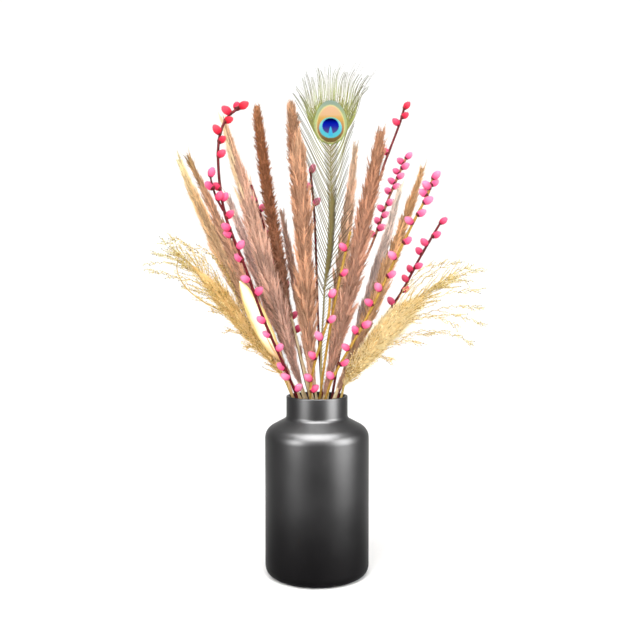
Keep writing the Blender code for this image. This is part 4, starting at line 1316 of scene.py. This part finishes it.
def grow_leaf():
    """The ivory leaf: a cupped blade that narrows to a point, on its stalk."""
    skin = ivory_leaf_skin()
    across = LEAF_ACROSS.normalized()
    places = smooth_line([p for p, _ in LEAF_BLADE], 5)
    halves = smooth_line([(half, 0, i) for i, (_, half) in enumerate(LEAF_BLADE)], 5)
    growth = Growth()
    columns = 9
    points = []
    faces = []
    sides = []
    for i, (spot, width) in enumerate(zip(places, halves)):
        half = max(0.5, width.x)
        along = direction(places, i)
        side = (across - along * across.dot(along)).normalized()
        normal = side.cross(along)
        cup = normal * LEAF_FOLD * half / LEAF_FULL_HALF
        for layer in (-0.5, 0.5):
            for j in range(columns):
                share = 2 * j / (columns - 1) - 1
                thin = LEAF_THICKNESS * (1 - 0.7 * abs(share)) * layer
                ripple = 0.35 * math.sin(i * 0.9 + 2 * share) * abs(share)
                flat = spot + side * half * share
                points.append(flat - cup * abs(share) ** 1.6 + normal * (thin + ripple))
                sides.append(share)
    row = 2 * columns
    for i in range(len(places) - 1):
        for j in range(columns - 1):
            low = i * row + j
            faces.append((low, low + row, low + row + 1, low + 1))
            back = low + columns
            faces.append((back, back + 1, back + row + 1, back + row))
        for j in (0, columns - 1):
            low = i * row + j
            edge = (low, low + columns, low + columns + row, low + row)
            faces.append(edge if j == 0 else tuple(reversed(edge)))
    for i in (0, len(places) - 1):
        ring = [i * row + j for j in range(columns)]
        ring += [i * row + columns + j for j in reversed(range(columns))]
        faces.append(tuple(ring) if i == 0 else tuple(reversed(ring)))
    rise = [0.2 + 0.8 * (k // row) / (len(places) - 1) for k in range(len(points))]
    growth.take(points, faces, [Vector((0, 0, 1))] * len(points), 0, {"side": sides, "rise": rise})
    stem = smooth_line(stem_in_vase(LEAF_RIM) + [places[0], places[5], places[10]], 5)
    tube(growth, stem, tapered(len(stem), STEM_RADIUS, 0.6, 0.8), 8, rise=0.0, side=0.0)
    settle(piece("ivory_leaf", growth.mesh("ivory_leaf", [skin])), "ivory_leaf")


def set_stage():
    """A pale floor that sweeps up into a backdrop, soft lights and a bright even surround."""
    line = [(-3.0, 0.0), (SWEEP_START, 0.0)]
    for step in range(1, SWEEP_STEPS + 1):
        turn = step * math.pi / 2 / SWEEP_STEPS
        back = SWEEP_START + SWEEP_RADIUS * math.sin(turn)
        line.append((back, SWEEP_RADIUS - SWEEP_RADIUS * math.cos(turn)))
    line.append((SWEEP_START + SWEEP_RADIUS, 4.0))
    points = []
    faces = []
    for y, z in line:
        points += [(-4.0, y, z), (4.0, y, z)]
    for i in range(len(line) - 1):
        faces.append((2 * i, 2 * i + 1, 2 * i + 3, 2 * i + 2))
    mesh = bpy.data.meshes.new("sweep")
    mesh.from_pydata(points, [], faces)
    mesh.polygons.foreach_set("use_smooth", [True] * len(faces))
    mesh.materials.append(painted_sweep())
    sweep = bpy.data.objects.new("sweep", mesh)
    bpy.context.scene.collection.objects.link(sweep)
    world = bpy.data.worlds.new("studio")
    bpy.context.scene.world = world
    world.use_nodes = True
    fill(world.node_tree.nodes["Background"], {"Color": linear("FFFFFF"), "Strength": 1.0})
    # The last three are seen in gloss alone: two upright strips and a ceiling panel.
    lights = [
        ("key", (-0.7, -1.5, 1.3), (0.0, 0.0, 0.45), 0.8, 17.0, True),
        ("fill", (0.9, -1.4, 1.0), (0.0, 0.0, 0.4), 0.8, 9.0, True),
        ("top", (0.0, -0.5, 1.9), (0.0, 0.0, 0.3), 0.7, 14.0, True),
        ("strip_left", (-1.1, -1.05, 0.56), (0.0, 0.0, 0.25), 0.7, 275.0, False),
        ("strip_right", (1.3, -0.8, 0.56), (0.0, 0.0, 0.25), 1.0, 500.0, False),
        ("ceiling", (0.0, -0.6, 1.6), (0.0, 0.0, 0.2), 1.8, 1500.0, False),
    ]
    for name, spot, aim, size, power, lights_matt in lights:
        data = bpy.data.lights.new(name, "AREA")
        data.shape = "SQUARE"
        data.size = size
        data.energy = power
        lamp = bpy.data.objects.new(name, data)
        lamp.location = spot
        lamp.rotation_euler = (Vector(aim) - Vector(spot)).to_track_quat("-Z", "Y").to_euler()
        lamp.visible_diffuse = lights_matt
        bpy.context.scene.collection.objects.link(lamp)


def set_camera():
    data = bpy.data.cameras.new("camera")
    data.lens = LENS
    data.sensor_width = 36.0
    camera = bpy.data.objects.new("camera", data)
    camera.location = CAMERA_PLACE
    camera.rotation_euler = (math.radians(90 - CAMERA_PITCH), 0.0, 0.0)
    bpy.context.scene.collection.objects.link(camera)
    bpy.context.scene.camera = camera
    bpy.context.scene.view_settings.view_transform = "Standard"


def main():
    set_camera()
    set_stage()
    settle(turn_vase(), "vase")
    coat = fibre_coat()
    for name in PLUMES:
        grow_plume(name, coat)
    barks = {
        "maroon": willow_bark("maroon", "3C1012", "722226"),
        "tan": willow_bark("tan", "6E3C2C", "A86E50"),
        "olive": willow_bark("olive", "7A5A22", "C29A48"),
    }
    down = catkin_down()
    scale = bud_scale()
    for name in WILLOWS:
        grow_willow(name, coat, barks, down, scale)
    grow_feather(coat)
    spray = spray_on_paths()
    straw = golden_straw()
    gold = golden_spikelet("gold", "7C5A2C", "DCB05E", "F4DAA2")
    cream = golden_spikelet("cream", "946E30", "ECC674", "FFEEC0")
    grow_grass("golden_grass_left", spray, coat, straw, gold, golden_down("gold", "DAB070", "F8DC9E"))
    grow_grass("golden_grass_right", spray, coat, straw, cream, golden_down("cream", "F2D28E", "FFF1C6"))
    grow_leaf()


main()
